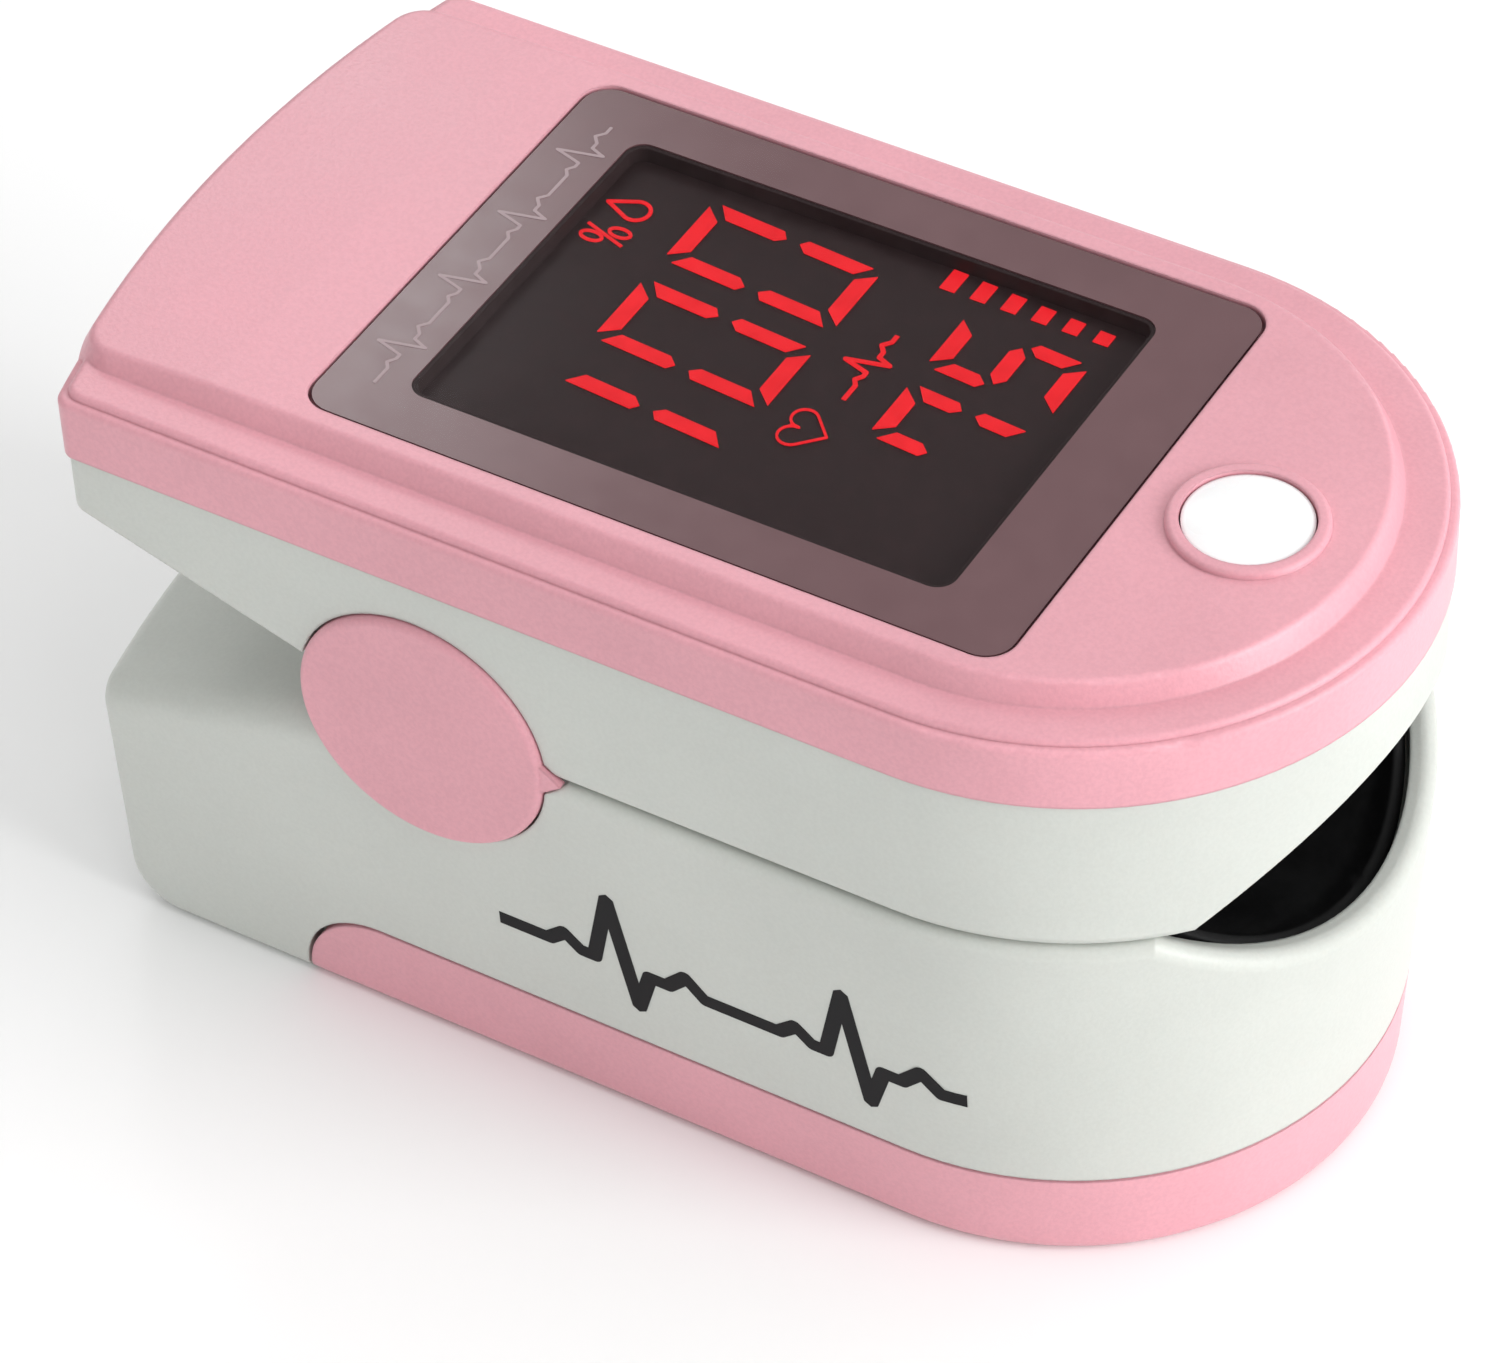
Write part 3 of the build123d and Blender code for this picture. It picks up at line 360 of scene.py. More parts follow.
def see_through(name, tint, clearness, roughness=0.06, shine=0.5):
    """Thin clear or tinted acrylic: mostly see-through, glossy, with hairline wipe marks."""
    shader = Shader(name)
    wipes = shader.noise(260, detail=8, roughness=0.75, stretch=(1, 3.5, 1))
    shader.link(shader.remap(wipes, "Fac", roughness * 0.6, roughness * 2.2, 0.35, 0.75),
                "Result", shader.surface, "Roughness")
    smudges = shader.noise(120, detail=5)
    cleaner = tuple(c * 0.85 for c in tint[:3]) + (1.0,)
    shader.colour(shader.mix(shader.remap(smudges, "Fac", 0.0, 0.4, 0.4, 0.7), tint, cleaner))
    haze = shader.remap(smudges, "Fac", 1.0 - clearness - 0.015, 1.0 - clearness + 0.02, 0.35, 0.7)
    shader.link(haze, "Result", shader.surface, "Alpha")
    shader.surface.inputs["IOR"].default_value = 1.49
    shader.surface.inputs["Specular IOR Level"].default_value = shine
    return shader.material


def printed_ink(name, colour, roughness=0.35, shine=0.5):
    """Screen-printed ink with a slightly uneven edge-to-edge tone."""
    shader = Shader(name)
    tone = shader.noise(600, detail=4)
    thin = tuple(min(1.0, c * 1.12 + 0.004) for c in colour[:3]) + (1.0,)
    shader.colour(shader.mix(shader.remap(tone, "Fac", 0.0, 0.6, 0.35, 0.75), colour, thin))
    shader.link(shader.remap(tone, "Fac", roughness - 0.02, roughness + 0.03, 0.3, 0.7),
                "Result", shader.surface, "Roughness")
    shader.relief(tone, "Fac", 0.000002)
    shader.surface.inputs["Specular IOR Level"].default_value = shine
    return shader.material


def lit_segment(name, colour, strength):
    """A lit display segment: dark red plastic that glows, a touch brighter in places."""
    shader = Shader(name)
    flicker = shader.noise(900, detail=2)
    bright = shader.ramp(flicker, "Fac", [(0.3, linear(238, 26, 36)), (0.7, colour)])
    shader.link(bright, "Color", shader.surface, "Emission Color")
    shader.surface.inputs["Base Color"].default_value = linear(60, 4, 6)
    shader.surface.inputs["Specular IOR Level"].default_value = 0.1
    shader.surface.inputs["Emission Strength"].default_value = strength
    shader.surface.inputs["Roughness"].default_value = 0.5
    return shader.material


def battery_wrap(name):
    """Plain shrink wrap in two tones, split along the cell's length."""
    shader = Shader(name)
    split = shader.node("ShaderNodeSeparateXYZ")
    shader.link(shader.coordinates, "Object", split, "Vector")
    band = shader.remap(split, "X", 0.0, 1.0, 0.0080, 0.0082)
    tone = shader.noise(500, detail=4)
    dark = shader.ramp(tone, "Fac", [(0.3, linear(34, 40, 52)), (0.7, linear(42, 50, 64))])
    shader.colour(shader.mix(band, dark, linear(150, 158, 166)))
    shader.link(shader.remap(tone, "Fac", 0.22, 0.38, 0.3, 0.7), "Result", shader.surface, "Roughness")
    shader.relief(tone, "Fac", 0.00001)
    return shader.material


PINK = linear(223, 160, 171)
WHITE = linear(199, 202, 196)

materials = {
    "pink_plastic": moulded_plastic("pink_plastic", PINK, 0.33),
    "white_plastic": moulded_plastic("white_plastic", WHITE, 0.36, grain=0.6, tone=0.035),
    "white_button": moulded_plastic("white_button", linear(250, 250, 250), 0.28, grain=0.2, tone=0.012),
    "black_rubber": silicone_rubber("black_rubber", linear(6, 6, 7)),
    "tinted_lens": see_through("tinted_lens", linear(60, 44, 46), 0.92, roughness=0.12, shine=0.25),
    "display_black": chip_plastic("display_black", linear(40, 28, 29), shine=0.15),
    "clear_lens": see_through("clear_lens", linear(215, 215, 222), 0.45, roughness=0.12),
    "circuit_board": circuit_board("circuit_board"),
    "chip_black": chip_plastic("chip_black", linear(30, 30, 32)),
    "flex_film": printed_ink("flex_film", linear(196, 120, 42)),
    "spring_steel": metal("spring_steel", linear(196, 196, 200), 0.26),
    "steel": metal("steel", linear(200, 200, 203), 0.24, stretch=(1, 0.1, 1)),
    "contact_metal": metal("contact_metal", linear(222, 218, 208), 0.22),
    "cell_wrap": battery_wrap("cell_wrap"),
}
window_border_ink = printed_ink("window_border_ink", linear(104, 71, 75), roughness=0.2)
trace_ink = printed_ink("trace_ink", linear(168, 146, 150))
side_mark_ink = printed_ink("side_mark_ink", linear(16, 16, 18), roughness=0.5, shine=0.15)
segment_light = lit_segment("segment_light", linear(255, 34, 44), 1.0)


def dress_cad_nodes():
    """Gives every CAD node the finish of its material slot."""
    slots = {entry["node"]: entry["material_slot"] for entry in frame["record"]["subparts"]}
    for name, obj in frame["nodes"].items():
        obj.data.materials.clear()
        obj.data.materials.append(materials[slots[name]])


# ================================================================ display
# The display is read from the near right: a line of print runs towards +Y, and up the page is -X.
DISPLAY_FACE_Z = 31.12
SEGMENT_HEIGHT = 0.06
SLANT = 0.075                      # how far figures lean to the right, for each mm of height
BIG_FIGURE = {"bottom": 0.05, "width": 4.23, "height": 8.55, "bar": 0.8}
BIG_LEFT = -2.55                   # left edge of the first of the two zeros
BIG_PITCH = 5.65
ONE_LEFT = BIG_LEFT - 2.85
SMALL_FIGURE = {"bottom": -10.42, "width": 3.6, "height": 6.0, "bar": 0.78}
SMALL_LEFT = -2.22
SMALL_PITCH = 4.8
LEVEL_BARS = 6
LEVEL_BARS_LEFT = 7.62
LEVEL_BARS_TOP = -2.52
LEVEL_BAR_PITCH = 1.445
LEVEL_BAR_THICKNESS = 0.71
LEVEL_BAR_LENGTH = 1.3
LEVEL_BAR_STEP = 0.11              # each bar is this much shorter than the one above
LEVEL_BAR_LEAN = 0.03


def on_display(across, up, z):
    """A point over the display, from its place on the page and its height."""
    return (-up, across, z)


def on_display_face(across, up, lift):
    """A point on the display's face, or lift above it."""
    return on_display(across, up, DISPLAY_FACE_Z + lift)


def block_faces(count):
    """Faces of a block whose points are its bottom outline followed by its top outline."""
    faces = [tuple(range(count)), tuple(range(2 * count - 1, count - 1, -1))]
    for i in range(count):
        j = (i + 1) % count
        faces.append((i, j, count + j, count + i))
    return faces


def raised_outline(outline, locate, height):
    """Points and faces of a low block on a surface, from its (across, up) outline.
    locate puts an (across, up, lift) point on the surface."""
    bottom = [locate(x, y, 0.0) for x, y in outline]
    top = [locate(x, y, height) for x, y in outline]
    return bottom + top, block_faces(len(outline))


def join_shapes(name, shapes, material):
    """One flat-shaded mesh object from several (points, faces) shapes."""
    points = []
    faces = []
    for shape_points, shape_faces in shapes:
        start = len(points)
        points += shape_points
        faces += [tuple(start + i for i in face) for face in shape_faces]
    return add_mesh(name, points, faces, material, smooth=False)


def segment_outlines(width, height, bar):
    """The seven segments of an upright digit, from its lower left corner."""
    near = 0.45 * bar              # how far a level bar stays from the digit's corner
    inner = 1.28 * bar             # how far its inner edge stays from the digit's side
    tip = 0.43 * bar               # half of the gap at mid height
    point = 0.72 * bar             # how far the middle bar's points stay from the sides
    half = bar / 2
    middle = height / 2
    stem = 0.9 * bar               # width of an upright bar
    upper_left = [
        (0, height - 0.56 * bar),
        (stem, height - 1.3 * bar),
        (stem, middle + 0.95 * bar),
        (stem / 2, middle + tip),
        (0, middle + 0.78 * bar),
    ]
    top = [(near, height), (width - near, height), (width - inner, height - bar), (inner, height - bar)]
    centre = [
        (point, middle),
        (inner, middle + half),
        (width - inner, middle + half),
        (width - point, middle),
        (width - inner, middle - half),
        (inner, middle - half),
    ]

    def flip_up(outline):
        """The outline upside down."""
        return [(x, height - y) for x, y in outline]

    def flip_across(outline):
        """The outline as in a mirror."""
        return [(width - x, y) for x, y in outline]

    return {
        "a": top,
        "b": flip_across(upper_left),
        "c": flip_across(flip_up(upper_left)),
        "d": flip_up(top),
        "e": flip_up(upper_left),
        "f": upper_left,
        "g": centre,
    }


def digit(lit, left, bottom, width, height, bar):
    """Shapes of one digit's lit segments on the display face."""
    shapes = []
    outlines = segment_outlines(width, height, bar)
    for name in lit:
        leaning = [(left + x + SLANT * y, bottom + y) for x, y in outlines[name]]
        shapes.append(raised_outline(leaning, on_display_face, SEGMENT_HEIGHT))
    return shapes


def leftwards(start, end):
    """Unit vector at right angles to the line from start to end, on its left."""
    return Vector((start[1] - end[1], end[0] - start[0])).normalized()


def bend_outline(centre, before, after, width):
    """Outline of a round joint between two runs, given their leftward vectors, as
    (left end of the first run, left start of the next, right end, right start, outline)."""
    half = width / 2
    turn = before.x * after.y - before.y * after.x
    side = 1 if turn > 0 else -1
    middle = (before + after).normalized()
    inner = centre + middle * (side * half / middle.dot(before))
    outer = [centre - before.lerp(after, step / 4).normalized() * (side * half) for step in range(5)]
    if side > 0:
        return inner, inner, outer[0], outer[-1], [inner] + outer
    return outer[0], outer[-1], inner, inner, [inner] + outer


def stroke_shapes(points, width, locate, height=SEGMENT_HEIGHT, closed=False):
    """A line of even width with round bends, as low blocks that lie side by side.
    locate puts an (across, up, lift) point on a surface."""
    straight = 0.02                # runs that turn less than this need no joint
    line = [Vector(point) for point in points]
    if closed:
        line.append(line[0])
    runs = [leftwards(start, end) for start, end in zip(line, line[1:])]
    last = len(runs)
    ends = []
    outlines = []
    for i, centre in enumerate(line):
        before = runs[i - 1] if i > 0 or closed else runs[0]
        after = runs[i % last] if i < last or closed else runs[-1]
        if (before - after).length < straight:
            left = centre + after * width / 2
            right = centre - after * width / 2
            ends.append((left, left, right, right))
        else:
            *corners, outline = bend_outline(centre, before, after, width)
            ends.append(corners)
            if i < last:
                outlines.append(outline)
    for start, end in zip(ends, ends[1:]):
        outlines.append([start[1], end[0], end[2], start[3]])
    return [raised_outline(outline, locate, height) for outline in outlines]


def arc(centre, radius, start, end, steps):
    """Points on a circle between two angles in degrees."""
    found = []
    for i in range(steps + 1):
        angle = math.radians(start + (end - start) * i / steps)
        found.append((centre[0] + radius * math.cos(angle), centre[1] + radius * math.sin(angle)))
    return found


def heart_outline(centre, width):
    """A heart: two round lobes and two straight sides down to a point."""
    lobe = width / 4
    left_lobe = arc((centre[0] - lobe, centre[1]), lobe, 0, 225, 12)
    right_lobe = arc((centre[0] + lobe, centre[1]), lobe, -45, 180, 12)
    tip = (centre[0], centre[1] - 2.35 * lobe)
    return right_lobe[:-1] + [(centre[0], centre[1] - 0.1 * lobe)] + left_lobe[1:] + [tip]


def heartbeat(start, end, level, height, beats):
    """A plain pulse trace: a level line with evenly spaced beats."""
    shape = [(0.22, 0.0), (0.29, 0.18), (0.36, 0.0), (0.42, 0.0), (0.50, 1.0),
             (0.60, -0.55), (0.66, 0.0), (0.74, 0.0), (0.82, 0.24), (0.90, 0.0)]
    points = [(start, level)]
    pitch = (end - start) / beats
    for beat in range(beats):
        for share, rise in shape:
            points.append((start + pitch * (beat + share), level + height * rise))
    points.append((end, level))
    return points


def level_bars():
    """The bars that show the strength of the pulse, each a little shorter than the one above."""
    shapes = []
    for step in range(LEVEL_BARS):
        right = LEVEL_BARS_LEFT + LEVEL_BAR_LENGTH - LEVEL_BAR_STEP * step
        top = LEVEL_BARS_TOP - LEVEL_BAR_PITCH * step
        bottom = top - LEVEL_BAR_THICKNESS
        outline = [(LEVEL_BARS_LEFT, top), (right, top),
                   (right - LEVEL_BAR_LEAN, bottom), (LEVEL_BARS_LEFT, bottom)]
        shapes.append(raised_outline(outline, on_display_face, SEGMENT_HEIGHT))
    return shapes


def percent_sign():
    """Two small ovals and a slanting stroke between them."""
    half_width = 0.28
    half_height = 0.5
    shapes = []
    for middle_x, middle_y in ((3.62, 12.05), (4.32, 11.05)):
        ring = arc((0.0, 0.0), 1.0, 0, 340, 17)
        oval = [(middle_x + half_width * x, middle_y + half_height * y) for x, y in ring]
        shapes += stroke_shapes(oval, 0.15, on_display_face, closed=True)
    return shapes + stroke_shapes([(3.6, 10.55), (4.3, 12.6)], 0.14, on_display_face)


def drop_symbol():
    """A small drop: a round bottom and two straight sides up to a point."""
    middle = 5.9
    outline = arc((middle, 11.2), 0.62, -215, 35, 16) + [(middle, 12.6)]
    return stroke_shapes(outline, 0.17, on_display_face, closed=True)


def make_display():
    """Lit figures, bars and symbols on the display's face."""
    shapes = digit("fe", ONE_LEFT, **BIG_FIGURE)
    for place_in_row in range(2):
        shapes += digit("abcdef", BIG_LEFT + BIG_PITCH * place_in_row, **BIG_FIGURE)
    shapes += digit("abcf", SMALL_LEFT, **SMALL_FIGURE)
    shapes += digit("afgcd", SMALL_LEFT + SMALL_PITCH, **SMALL_FIGURE)
    shapes += level_bars()
    shapes += stroke_shapes(heart_outline((-2.75, -1.7), width=2.3), 0.11, on_display_face, closed=True)
    pulse = heartbeat(start=-0.4, end=4.1, level=-2.5, height=1.2, beats=1)
    shapes += stroke_shapes(pulse, 0.2, on_display_face)
    shapes += percent_sign()
    shapes += drop_symbol()
    lit = join_shapes("display_figures", shapes, segment_light)
    place(lit, "upper_half", "display_black")


def rounded_rectangle(x_range, half_width, corner, steps=8):
    """Outline points of a rounded rectangle, anticlockwise, as (x, y)."""
    low, high = x_range
    points = []
    for centre, start in (
        ((high - corner, half_width - corner), 0),
        ((low + corner, half_width - corner), 90),
        ((low + corner, -half_width + corner), 180),
        ((high - corner, -half_width + corner), 270),
    ):
        points += arc(centre, corner, start, start + 90, steps)
    return points


def closed_ring(name, rings, material):
    """A solid ring from four outlines of (points, z), one for each corner of its section."""
    count = len(rings[0][0])
    points = []
    for outline, z in rings:
        points += [(x, y, z) for x, y in outline]
    faces = []
    for band in range(4):
        near = band * count
        far = ((band + 1) % 4) * count
        for i in range(count):
            j = (i + 1) % count
            faces.append((near + i, near + j, far + j, far + i))
    return add_mesh(name, points, faces, material, smooth=False)


def make_screen_gasket(top):
    """Dark wall round the display's face, up to the border printed under the lens."""
    wall = 0.2
    under_border = 0.02            # how far the wall reaches under the border
    into_display = 0.03
    low, high = SCREEN_X
    outer = rounded_rectangle((low - under_border, high + under_border),
                              SCREEN_HALF_WIDTH + under_border, SCREEN_CORNER)
    inner = rounded_rectangle((low + wall, high - wall), SCREEN_HALF_WIDTH - wall, SCREEN_CORNER - wall)
    bottom = DISPLAY_FACE_Z - into_display
    rings = [(outer, bottom), (inner, bottom), (inner, top), (outer, top)]
    gasket = closed_ring("screen_gasket", rings, materials["display_black"])
    place(gasket, "upper_half", "display_black")


def make_window_border():
    """The border printed under the lens, round the clear part over the display."""
    margin = 0.1                   # from the lens's edge to the border's edge
    corner = 1.3
    below_lens_top = (0.10, 0.03)  # the border's lower and upper face
    (low_x, _, _), (high_x, high_y, high_z) = box_mm("display_window")
    outer = rounded_rectangle((low_x + margin, high_x - margin), high_y - margin, corner)
    inner = rounded_rectangle(SCREEN_X, SCREEN_HALF_WIDTH, SCREEN_CORNER)
    bottom, top = [high_z - depth for depth in below_lens_top]
    rings = [(outer, bottom), (inner, bottom), (inner, top), (outer, top)]
    place(closed_ring("window_border", rings, window_border_ink), "upper_half", "tinted_lens")
    make_screen_gasket(bottom)

    def on_border(across, up, lift):
        """A point just clear of the border's upper face, or lift above that."""
        clearance = 0.004
        return on_display(across, up, top + clearance + lift)

    pulse = heartbeat(start=-9.4, end=9.4, level=14.5, height=1.3, beats=4)
    trace = stroke_shapes(pulse, 0.15, on_border, height=0.012)
    place(join_shapes("window_trace", trace, trace_ink), "upper_half", "tinted_lens")


# ================================================================ mark on the near side
def on_near_side(along, up, lift):
    """A point on the lower half's near side: along it from the hinge towards the nose, at height up."""
    half = HALF_WIDTH - (SEAM_Z - up) * math.tan(DRAFT) + lift
    if along <= NOSE_X:
        return (along, -half, up)
    turn = (along - NOSE_X) / half
    return (NOSE_X + half * math.sin(turn), -half * math.cos(turn), up)


def finely(points, longest):
    """The same line divided into short steps along the side, so that it can follow the round nose."""
    found = [points[0]]
    for before, after in zip(points, points[1:]):
        steps = max(1, math.ceil(abs(after[0] - before[0]) / longest))
        for i in range(1, steps + 1):
            share = i / steps
            found.append((before[0] + (after[0] - before[0]) * share,
                          before[1] + (after[1] - before[1]) * share))
    return found


def make_side_mark():
    """A plain printed pulse trace in the place where such a clip carries a mark."""
    line = finely(heartbeat(start=-6.5, end=16.0, level=9.4, height=4.0, beats=2), 0.8)
    shapes = stroke_shapes(line, 0.72, on_near_side, height=0.02)
    place(join_shapes("side_mark", shapes, side_mark_ink), "lower_half", "white_plastic")


# ================================================================ finger pads
PAD_REAR = -3.35
RIDGED_X = (-1.0, 21.0)            # part of a pad with grip ridges across it
RIDGE_HEIGHT = 0.12
RIDGE_WIDTH = 0.9                  # the flat between two ridges is as wide
RIDGE_FADE = 2.0                   # the ridges rise and fall over this length at both ends
HOLE_X = (SENSOR_X - 3.1, SENSOR_X + 3.1)
HOLE_HALF_WIDTH = 2.2
HOLE_RIM = 1.2                     # smooth rim round the hole
LIP_HEIGHT = 0.34                  # raised lip along the edge round the nose
LIP_PLACE = 0.45                   # from that edge to the lip's crest
LIP_SPREAD = 0.32


def pad_lift(x, y, to_front):
    """How far a pad's skin rises towards the finger, for its ridges and its lip."""
    lift = LIP_HEIGHT * math.exp(-((to_front - LIP_PLACE) / LIP_SPREAD) ** 2)
    by_hole = HOLE_X[0] - HOLE_RIM < x < HOLE_X[1] + HOLE_RIM and abs(y) < HOLE_HALF_WIDTH + HOLE_RIM
    if RIDGED_X[0] < x < RIDGED_X[1] and not by_hole:
        fade = min(1.0, (x - RIDGED_X[0]) / RIDGE_FADE, (RIDGED_X[1] - x) / RIDGE_FADE)
        lift += RIDGE_HEIGHT * max(0.0, math.sin(x * math.pi / RIDGE_WIDTH)) * fade
    return lift


def pad_surface(name, radius, crest_z, side, front_radius, half_angle):
    """The skin of a finger pad: part of a cylinder along X, with grip ridges, a raised lip round its
    nose and a hole for the sensor window. side is -1 for the lower pad and 1 for the upper one."""
    straight_end = 12.0            # up to here the rows are straight, beyond they follow the nose
    behind_hole, along_hole, beyond = 16, 12, 26      # numbers of rows along the pad
    beside_hole, across_hole = 22, 8                  # numbers of columns across it
    hole_angle = math.asin(HOLE_HALF_WIDTH / radius)
    rows = spaced(PAD_REAR, HOLE_X[0], behind_hole) + spaced(*HOLE_X, along_hole)
    rows += [HOLE_X[1], straight_end]
    angles = spaced(-half_angle, -hole_angle, beside_hole)
    angles += spaced(-hole_angle, hole_angle, across_hole)
    angles += spaced(hole_angle, half_angle, beside_hole) + [half_angle]
    points = []
    for angle in angles:
        y = radius * math.sin(angle)
        front = NOSE_X + math.sqrt(front_radius**2 - y * y)
        for x in rows + spaced(straight_end, front, beyond)[1:] + [front]:
            reach = radius - pad_lift(x, y, front - x)
            z = crest_z - side * (radius - reach * math.cos(angle))
            points.append((x, reach * math.sin(angle), z))
    across = len(rows) + beyond
    hole_rows = range(behind_hole, behind_hole + along_hole)
    hole_columns = range(beside_hole, beside_hole + across_hole)
    faces = []
    for i in range(len(angles) - 1):
        for j in range(across - 1):
            if i in hole_columns and j in hole_rows:
                continue
            first = i * across + j
            faces.append((first, first + 1, first + across + 1, first + across))
    return add_mesh(name, points, faces, materials["black_rubber"])


def thicken(obj, thickness):
    """Gives a skin its thickness, away from the finger, and rounds its rim."""
    solid = obj.modifiers.new("thickness", "SOLIDIFY")
    solid.thickness = thickness / 1000
    solid.offset = -1
    rim = obj.modifiers.new("rim", "BEVEL")
    rim.width = 0.12 / 1000
    rim.segments = 2
    rim.limit_method = "ANGLE"
    rim.angle_limit = math.radians(50)
    apply_modifiers(obj)


def face_inwards(obj, centre):
    """Turns the skin's faces towards a point, so that its thickness goes the other way."""
    mesh = bmesh.new()
    mesh.from_mesh(obj.data)
    votes = sum(face.normal.dot(centre - face.calc_center_median()) for face in mesh.faces)
    if votes < 0:
        bmesh.ops.reverse_faces(mesh, faces=mesh.faces)
    mesh.to_mesh(obj.data)
    mesh.free()


def make_pad(name, radius, crest_z, side, end_z, front_radius, body, node):
    """One finger pad, in place of its CAD node; end_z is the height of its side edges."""
    half_angle = math.acos(1 - abs(end_z - crest_z) / radius)
    pad = pad_surface(name, radius, crest_z, side, front_radius, half_angle)
    face_inwards(pad, mm(SENSOR_X, 0, crest_z - side * radius))
    thicken(pad, PAD_THICKNESS)
    place(pad, body, "black_rubber", node)


def make_finger_pads():
    """The lower and the upper finger pad."""
    make_pad("lower_pad", LOWER_PAD_RADIUS, LOWER_PAD_CREST, -1, LOWER_PAD_END, LOWER_PAD_FRONT,
             "lower_half", "lower_finger_pad")
    make_pad("upper_pad", UPPER_PAD_RADIUS, UPPER_PAD_CREST, 1, UPPER_PAD_END, UPPER_PAD_FRONT,
             "upper_half", "upper_finger_pad")


# ================================================================ springs, ribbon and cells
def wire(name, path, radius, material, sides=10):
    """A round wire along a path of points in mm, with capped ends."""
    points = []
    faces = []
    up = Vector((0.3, 0.2, 1.0)).normalized()
    count = len(path)
    for i, here in enumerate(path):
        before = Vector(path[max(0, i - 1)])
        after = Vector(path[min(count - 1, i + 1)])
        along = (after - before).normalized()
        side = along.cross(up).normalized()
        up = side.cross(along).normalized()
        for k in range(sides):
            angle = 2 * math.pi * k / sides
            point = Vector(here) + (side * math.cos(angle) + up * math.sin(angle)) * radius
            points.append(tuple(point))
    for i in range(count - 1):
        for k in range(sides):
            m = (k + 1) % sides
            faces.append((i * sides + k, i * sides + m, (i + 1) * sides + m, (i + 1) * sides + k))
    faces.append(tuple(range(sides)))
    faces.append(tuple(range(count * sides - 1, (count - 1) * sides - 1, -1)))
    return add_mesh(name, points, faces, material)


def make_torsion_spring():
    """Close-wound coil round the axle; one leg rests on each half."""
    (low_x, _, low_z), (_, _, high_z) = box_mm("torsion_spring")
    wire_radius = 0.34
    coil_radius = 2.1
    half_length = 4.2
    turns = 12
    per_turn = 28
    first_angle = math.pi - 0.35
    inset = 0.4                    # from the faces of the CAD box to the ends of the legs
    # both legs leave the coil at its rear, pointing up at the far end and down at the near end
    path = [(low_x + inset, -half_length, low_z + inset)]
    for i in range(turns * per_turn + 1):
        angle = first_angle + 2 * math.pi * i / per_turn
        x = PIVOT[0] + coil_radius * math.cos(angle)
        y = -half_length + 2 * half_length * i / (turns * per_turn)
        z = PIVOT[1] - coil_radius * math.sin(angle)
        path.append((x, y, z))
    path.append((low_x + inset, half_length, high_z - inset))
    spring = wire("torsion_coil", path, wire_radius, materials["spring_steel"])
    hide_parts("torsion_spring")
    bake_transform(spring)


def make_contact_spring(node):
    """Conical coil, wide where it sits on its contact sheet and narrow where it meets the cell."""
    (low_x, low_y, low_z), (high_x, high_y, high_z) = box_mm(node)
    wide_x, narrow_x = (high_x, low_x) if node.endswith("near") else (low_x, high_x)
    wire_radius = 0.22
    wide_radius = 3.15
    narrow_radius = 1.8
    inwards = math.copysign(wire_radius, narrow_x - wide_x)
    centre_y = (low_y + high_y) / 2
    centre_z = (low_z + high_z) / 2
    turns = 3.25
    steps = 90
    flat = 0.12                    # share of the wire that lies flat at each end
    path = []
    for i in range(steps + 1):
        share = i / steps
        angle = 2 * math.pi * turns * share
        radius = wide_radius - (wide_radius - narrow_radius) * share
        risen = min(1.0, max(0.0, (share - flat) / (1 - 2 * flat)))
        x = wide_x + inwards + (narrow_x - wide_x - 2 * inwards) * risen
        path.append((x, centre_y + radius * math.cos(angle), centre_z + radius * math.sin(angle)))
    coil = wire(f"{node}_coil", path, wire_radius, materials["spring_steel"], sides=8)
    place(coil, "lower_half", "spring_steel", node)


def make_ribbon():
    """Flexible ribbon between the halves, with two soft bends."""
    (x_back, _, low_z), (x_front, _, high_z) = box_mm("flex_cable")
    inset = 0.1                    # from the faces of the CAD box to the ribbon's middle
    z_low = low_z + inset
    z_high = high_z - inset
    x_rise = -5.6                  # where the ribbon goes up between the halves
    bend = 0.75
    bow = 0.22                     # how far the upright part bows out
    bow_steps = 24
    half_width = 1.5
    half_thickness = 0.08
    path = [(x_front, z_low)]
    path += arc((x_rise + bend, z_low + bend), bend, 270, 180, 8)
    for i in range(1, bow_steps):
        share = i / bow_steps
        x = x_rise + bow * math.sin(math.pi * share)
        path.append((x, z_low + bend + (z_high - z_low - 2 * bend) * share))
    path += arc((x_rise - bend, z_high - bend), bend, 0, 90, 8)
    path.append((x_back, z_high))
    points = []
    for i, centre in enumerate(path):
        across = leftwards(path[max(0, i - 1)], path[min(len(path) - 1, i + 1)]) * half_thickness
        x1, z1 = Vector(centre) + across
        x2, z2 = Vector(centre) - across
        points += [(x1, -half_width, z1), (x1, half_width, z1)]
        points += [(x2, half_width, z2), (x2, -half_width, z2)]
    faces = []
    count = len(path)
    for i in range(count - 1):
        for k in range(4):
            m = (k + 1) % 4
            faces.append((4 * i + k, 4 * i + m, 4 * (i + 1) + m, 4 * (i + 1) + k))
    faces.append((0, 1, 2, 3))
    faces.append((4 * count - 1, 4 * count - 2, 4 * count - 3, 4 * count - 4))
    ribbon = add_mesh("flex_ribbon", points, faces, materials["flex_film"])
    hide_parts("flex_cable")
    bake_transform(ribbon)


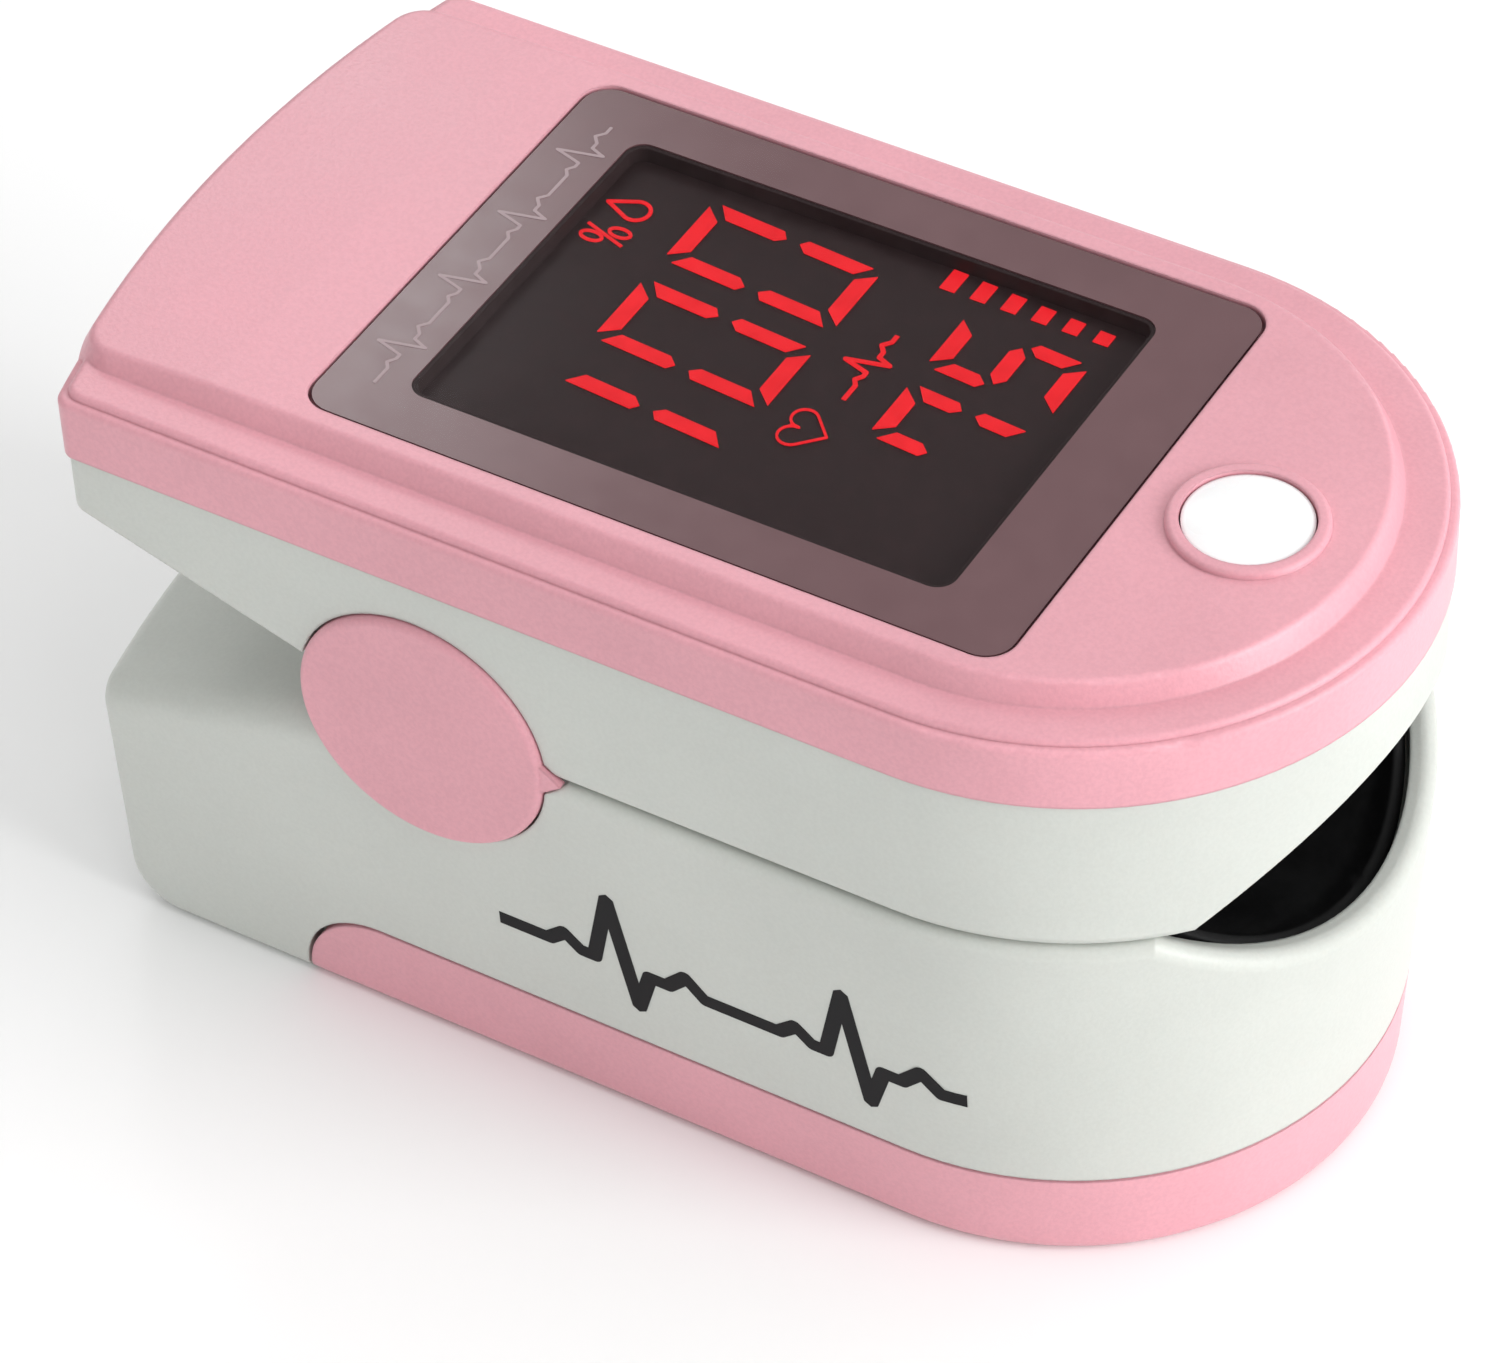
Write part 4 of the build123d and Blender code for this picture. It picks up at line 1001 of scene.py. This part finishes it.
def lathe_along_x(name, profile, centre, materials_used, steps=72):
    """A turned solid along X. profile is a list of (x, radius, material index)."""
    points = []
    faces = []
    finish = []
    centre_y, centre_z = centre
    for x, radius, _ in profile:
        for k in range(steps):
            angle = 2 * math.pi * k / steps
            points.append((x, centre_y + radius * math.cos(angle), centre_z + radius * math.sin(angle)))
    for i in range(len(profile) - 1):
        for k in range(steps):
            m = (k + 1) % steps
            faces.append((i * steps + k, i * steps + m, (i + 1) * steps + m, (i + 1) * steps + k))
            finish.append(profile[i + 1][2])
    faces.append(tuple(range(steps)))
    finish.append(profile[0][2])
    last = (len(profile) - 1) * steps
    faces.append(tuple(range(last + steps - 1, last - 1, -1)))
    finish.append(profile[-1][2])
    obj = add_mesh(name, points, faces, None)
    for used in materials_used:
        obj.data.materials.append(used)
    for polygon, index in zip(obj.data.polygons, finish):
        polygon.material_index = index
    return obj


def make_cell(node):
    """An AAA cell: steel can in shrink wrap, a raised positive end and a plain negative one."""
    (low_x, low_y, low_z), (high_x, high_y, high_z) = box_mm(node)
    positive_x, inwards = (low_x, 1) if node.endswith("near") else (high_x, -1)
    length = high_x - low_x
    metal_part, wrap_part, seal_part = 0, 1, 2
    # distance from the positive end, radius, part
    turned = [
        (0.0, 0.6, metal_part),
        (0.0, 1.65, metal_part),
        (0.12, 1.88, metal_part),
        (0.98, 1.9, metal_part),
        (1.02, 2.35, seal_part),
        (1.10, 3.1, seal_part),
        (1.05, 3.6, metal_part),
        (1.02, 4.5, metal_part),
        (1.00, 4.75, wrap_part),
        (1.08, 5.08, wrap_part),
        (1.40, 5.24, wrap_part),
        (2.2, 5.25, wrap_part),
        (length - 1.2, 5.25, wrap_part),
        (length - 0.35, 5.23, wrap_part),
        (length - 0.10, 5.02, wrap_part),
        (length - 0.06, 4.6, wrap_part),
        (length - 0.22, 4.35, metal_part),
        (length - 0.04, 3.9, metal_part),
        (length, 3.2, metal_part),
        (length, 0.6, metal_part),
    ]
    profile = [(positive_x + inwards * x, radius, part) for x, radius, part in turned]
    centre = ((low_y + high_y) / 2, (low_z + high_z) / 2)
    used = [materials["contact_metal"], materials["cell_wrap"], materials["chip_black"]]
    cell = lathe_along_x(f"{node}_cell", profile, centre, used)
    place(cell, "lower_half", "cell_wrap", node)


# ================================================================ stage
def make_soft_world():
    """Even white surroundings: bright overhead and behind the object, dimmer on the camera's side."""
    world = bpy.data.worlds.new("soft_world")
    world.use_nodes = True
    tree = world.node_tree
    direction = tree.nodes.new("ShaderNodeTexCoord")
    height = tree.nodes.new("ShaderNodeVectorMath")
    height.operation = "DOT_PRODUCT"
    height.inputs[1].default_value = (0.0, 0.55, 0.83)
    strength = tree.nodes.new("ShaderNodeMapRange")
    strength.inputs["From Min"].default_value = -1.0
    strength.inputs["From Max"].default_value = 1.0
    strength.inputs["To Min"].default_value = -0.20
    strength.inputs["To Max"].default_value = 1.02
    background = tree.nodes["Background"]
    background.inputs["Color"].default_value = (1.0, 1.0, 1.0, 1.0)
    tree.links.new(direction.outputs["Generated"], height.inputs[0])
    tree.links.new(height.outputs["Value"], strength.inputs["Value"])
    tree.links.new(strength.outputs["Result"], background.inputs["Strength"])
    bpy.context.scene.world = world


def make_floor():
    """Pale floor, just clear of the flat underside."""
    shader = Shader("pale_floor")
    tone = shader.noise(9, detail=3)
    shader.colour(shader.mix(shader.remap(tone, "Fac", 0.0, 1.0, 0.4, 0.6),
                             linear(249, 249, 249), linear(251, 251, 251)))
    shader.surface.inputs["Roughness"].default_value = 0.9
    shader.surface.inputs["Specular IOR Level"].default_value = 0.1
    reach = 3000
    level = -0.02
    corners = [(x * reach, y * reach, level) for x, y in ((-1, -1), (1, -1), (1, 1), (-1, 1))]
    floor = add_mesh("floor", corners, [(0, 1, 2, 3)], shader.material)


def area_light(name, azimuth, elevation, distance, size, power):
    """A round light that faces the origin: angles in degrees, distance and size in metres."""
    light = bpy.data.lights.new(name, "AREA")
    light.shape = "DISK"
    light.size = size
    light.energy = power
    obj = bpy.data.objects.new(name, light)
    bpy.context.scene.collection.objects.link(obj)
    back = outwards(azimuth, elevation)
    obj.location = back * distance
    obj.rotation_mode = "QUATERNION"
    obj.rotation_quaternion = (-back).to_track_quat("-Z", "Y")


def make_stage():
    """Pale floor and soft light from all round; a large soft light at the nose, a weak one on the
    near side, a small one high up for the glints on the nose's edges, and a small one behind, whose
    reflection brightens one corner of the window's border."""
    make_soft_world()
    make_floor()
    area_light("key", azimuth=92, elevation=24, distance=0.6, size=0.40, power=3.0)
    area_light("fill", azimuth=-10, elevation=12, distance=0.6, size=0.5, power=0.72)
    area_light("edge_glint", azimuth=45, elevation=62, distance=0.5, size=0.10, power=0.10)
    area_light("window_glint", azimuth=221, elevation=40.5, distance=0.5, size=0.07, power=0.1)
    bpy.context.scene.view_settings.view_transform = "Standard"


def make_camera():
    """The camera, at the photograph's viewing angle."""
    data = bpy.data.cameras.new("camera")
    data.lens = CAMERA_LENS
    data.sensor_width = CAMERA_SENSOR
    data.clip_start = 0.01
    data.clip_end = 20
    camera = bpy.data.objects.new("camera", data)
    bpy.context.scene.collection.objects.link(camera)
    azimuth = math.radians(CAMERA_AZIMUTH)
    back = outwards(CAMERA_AZIMUTH, CAMERA_ELEVATION)
    right = Vector((math.cos(azimuth), math.sin(azimuth), 0))
    up = back.cross(right)
    upright = Matrix((right, up, back)).transposed()
    turned = upright @ Matrix.Rotation(math.radians(CAMERA_ROLL), 3, "Z")
    place_of_camera = mm(*CAMERA_TARGET) + back * CAMERA_DISTANCE / 1000
    camera.matrix_world = Matrix.Translation(place_of_camera) @ turned.to_4x4()
    bpy.context.scene.camera = camera


# ================================================================ the whole scene
make_camera()
make_stage()
dress_cad_nodes()
make_display()
make_window_border()
make_side_mark()
make_finger_pads()
make_torsion_spring()
make_contact_spring("contact_spring_near")
make_contact_spring("contact_spring_far")
make_ribbon()
make_cell("battery_near")
make_cell("battery_far")
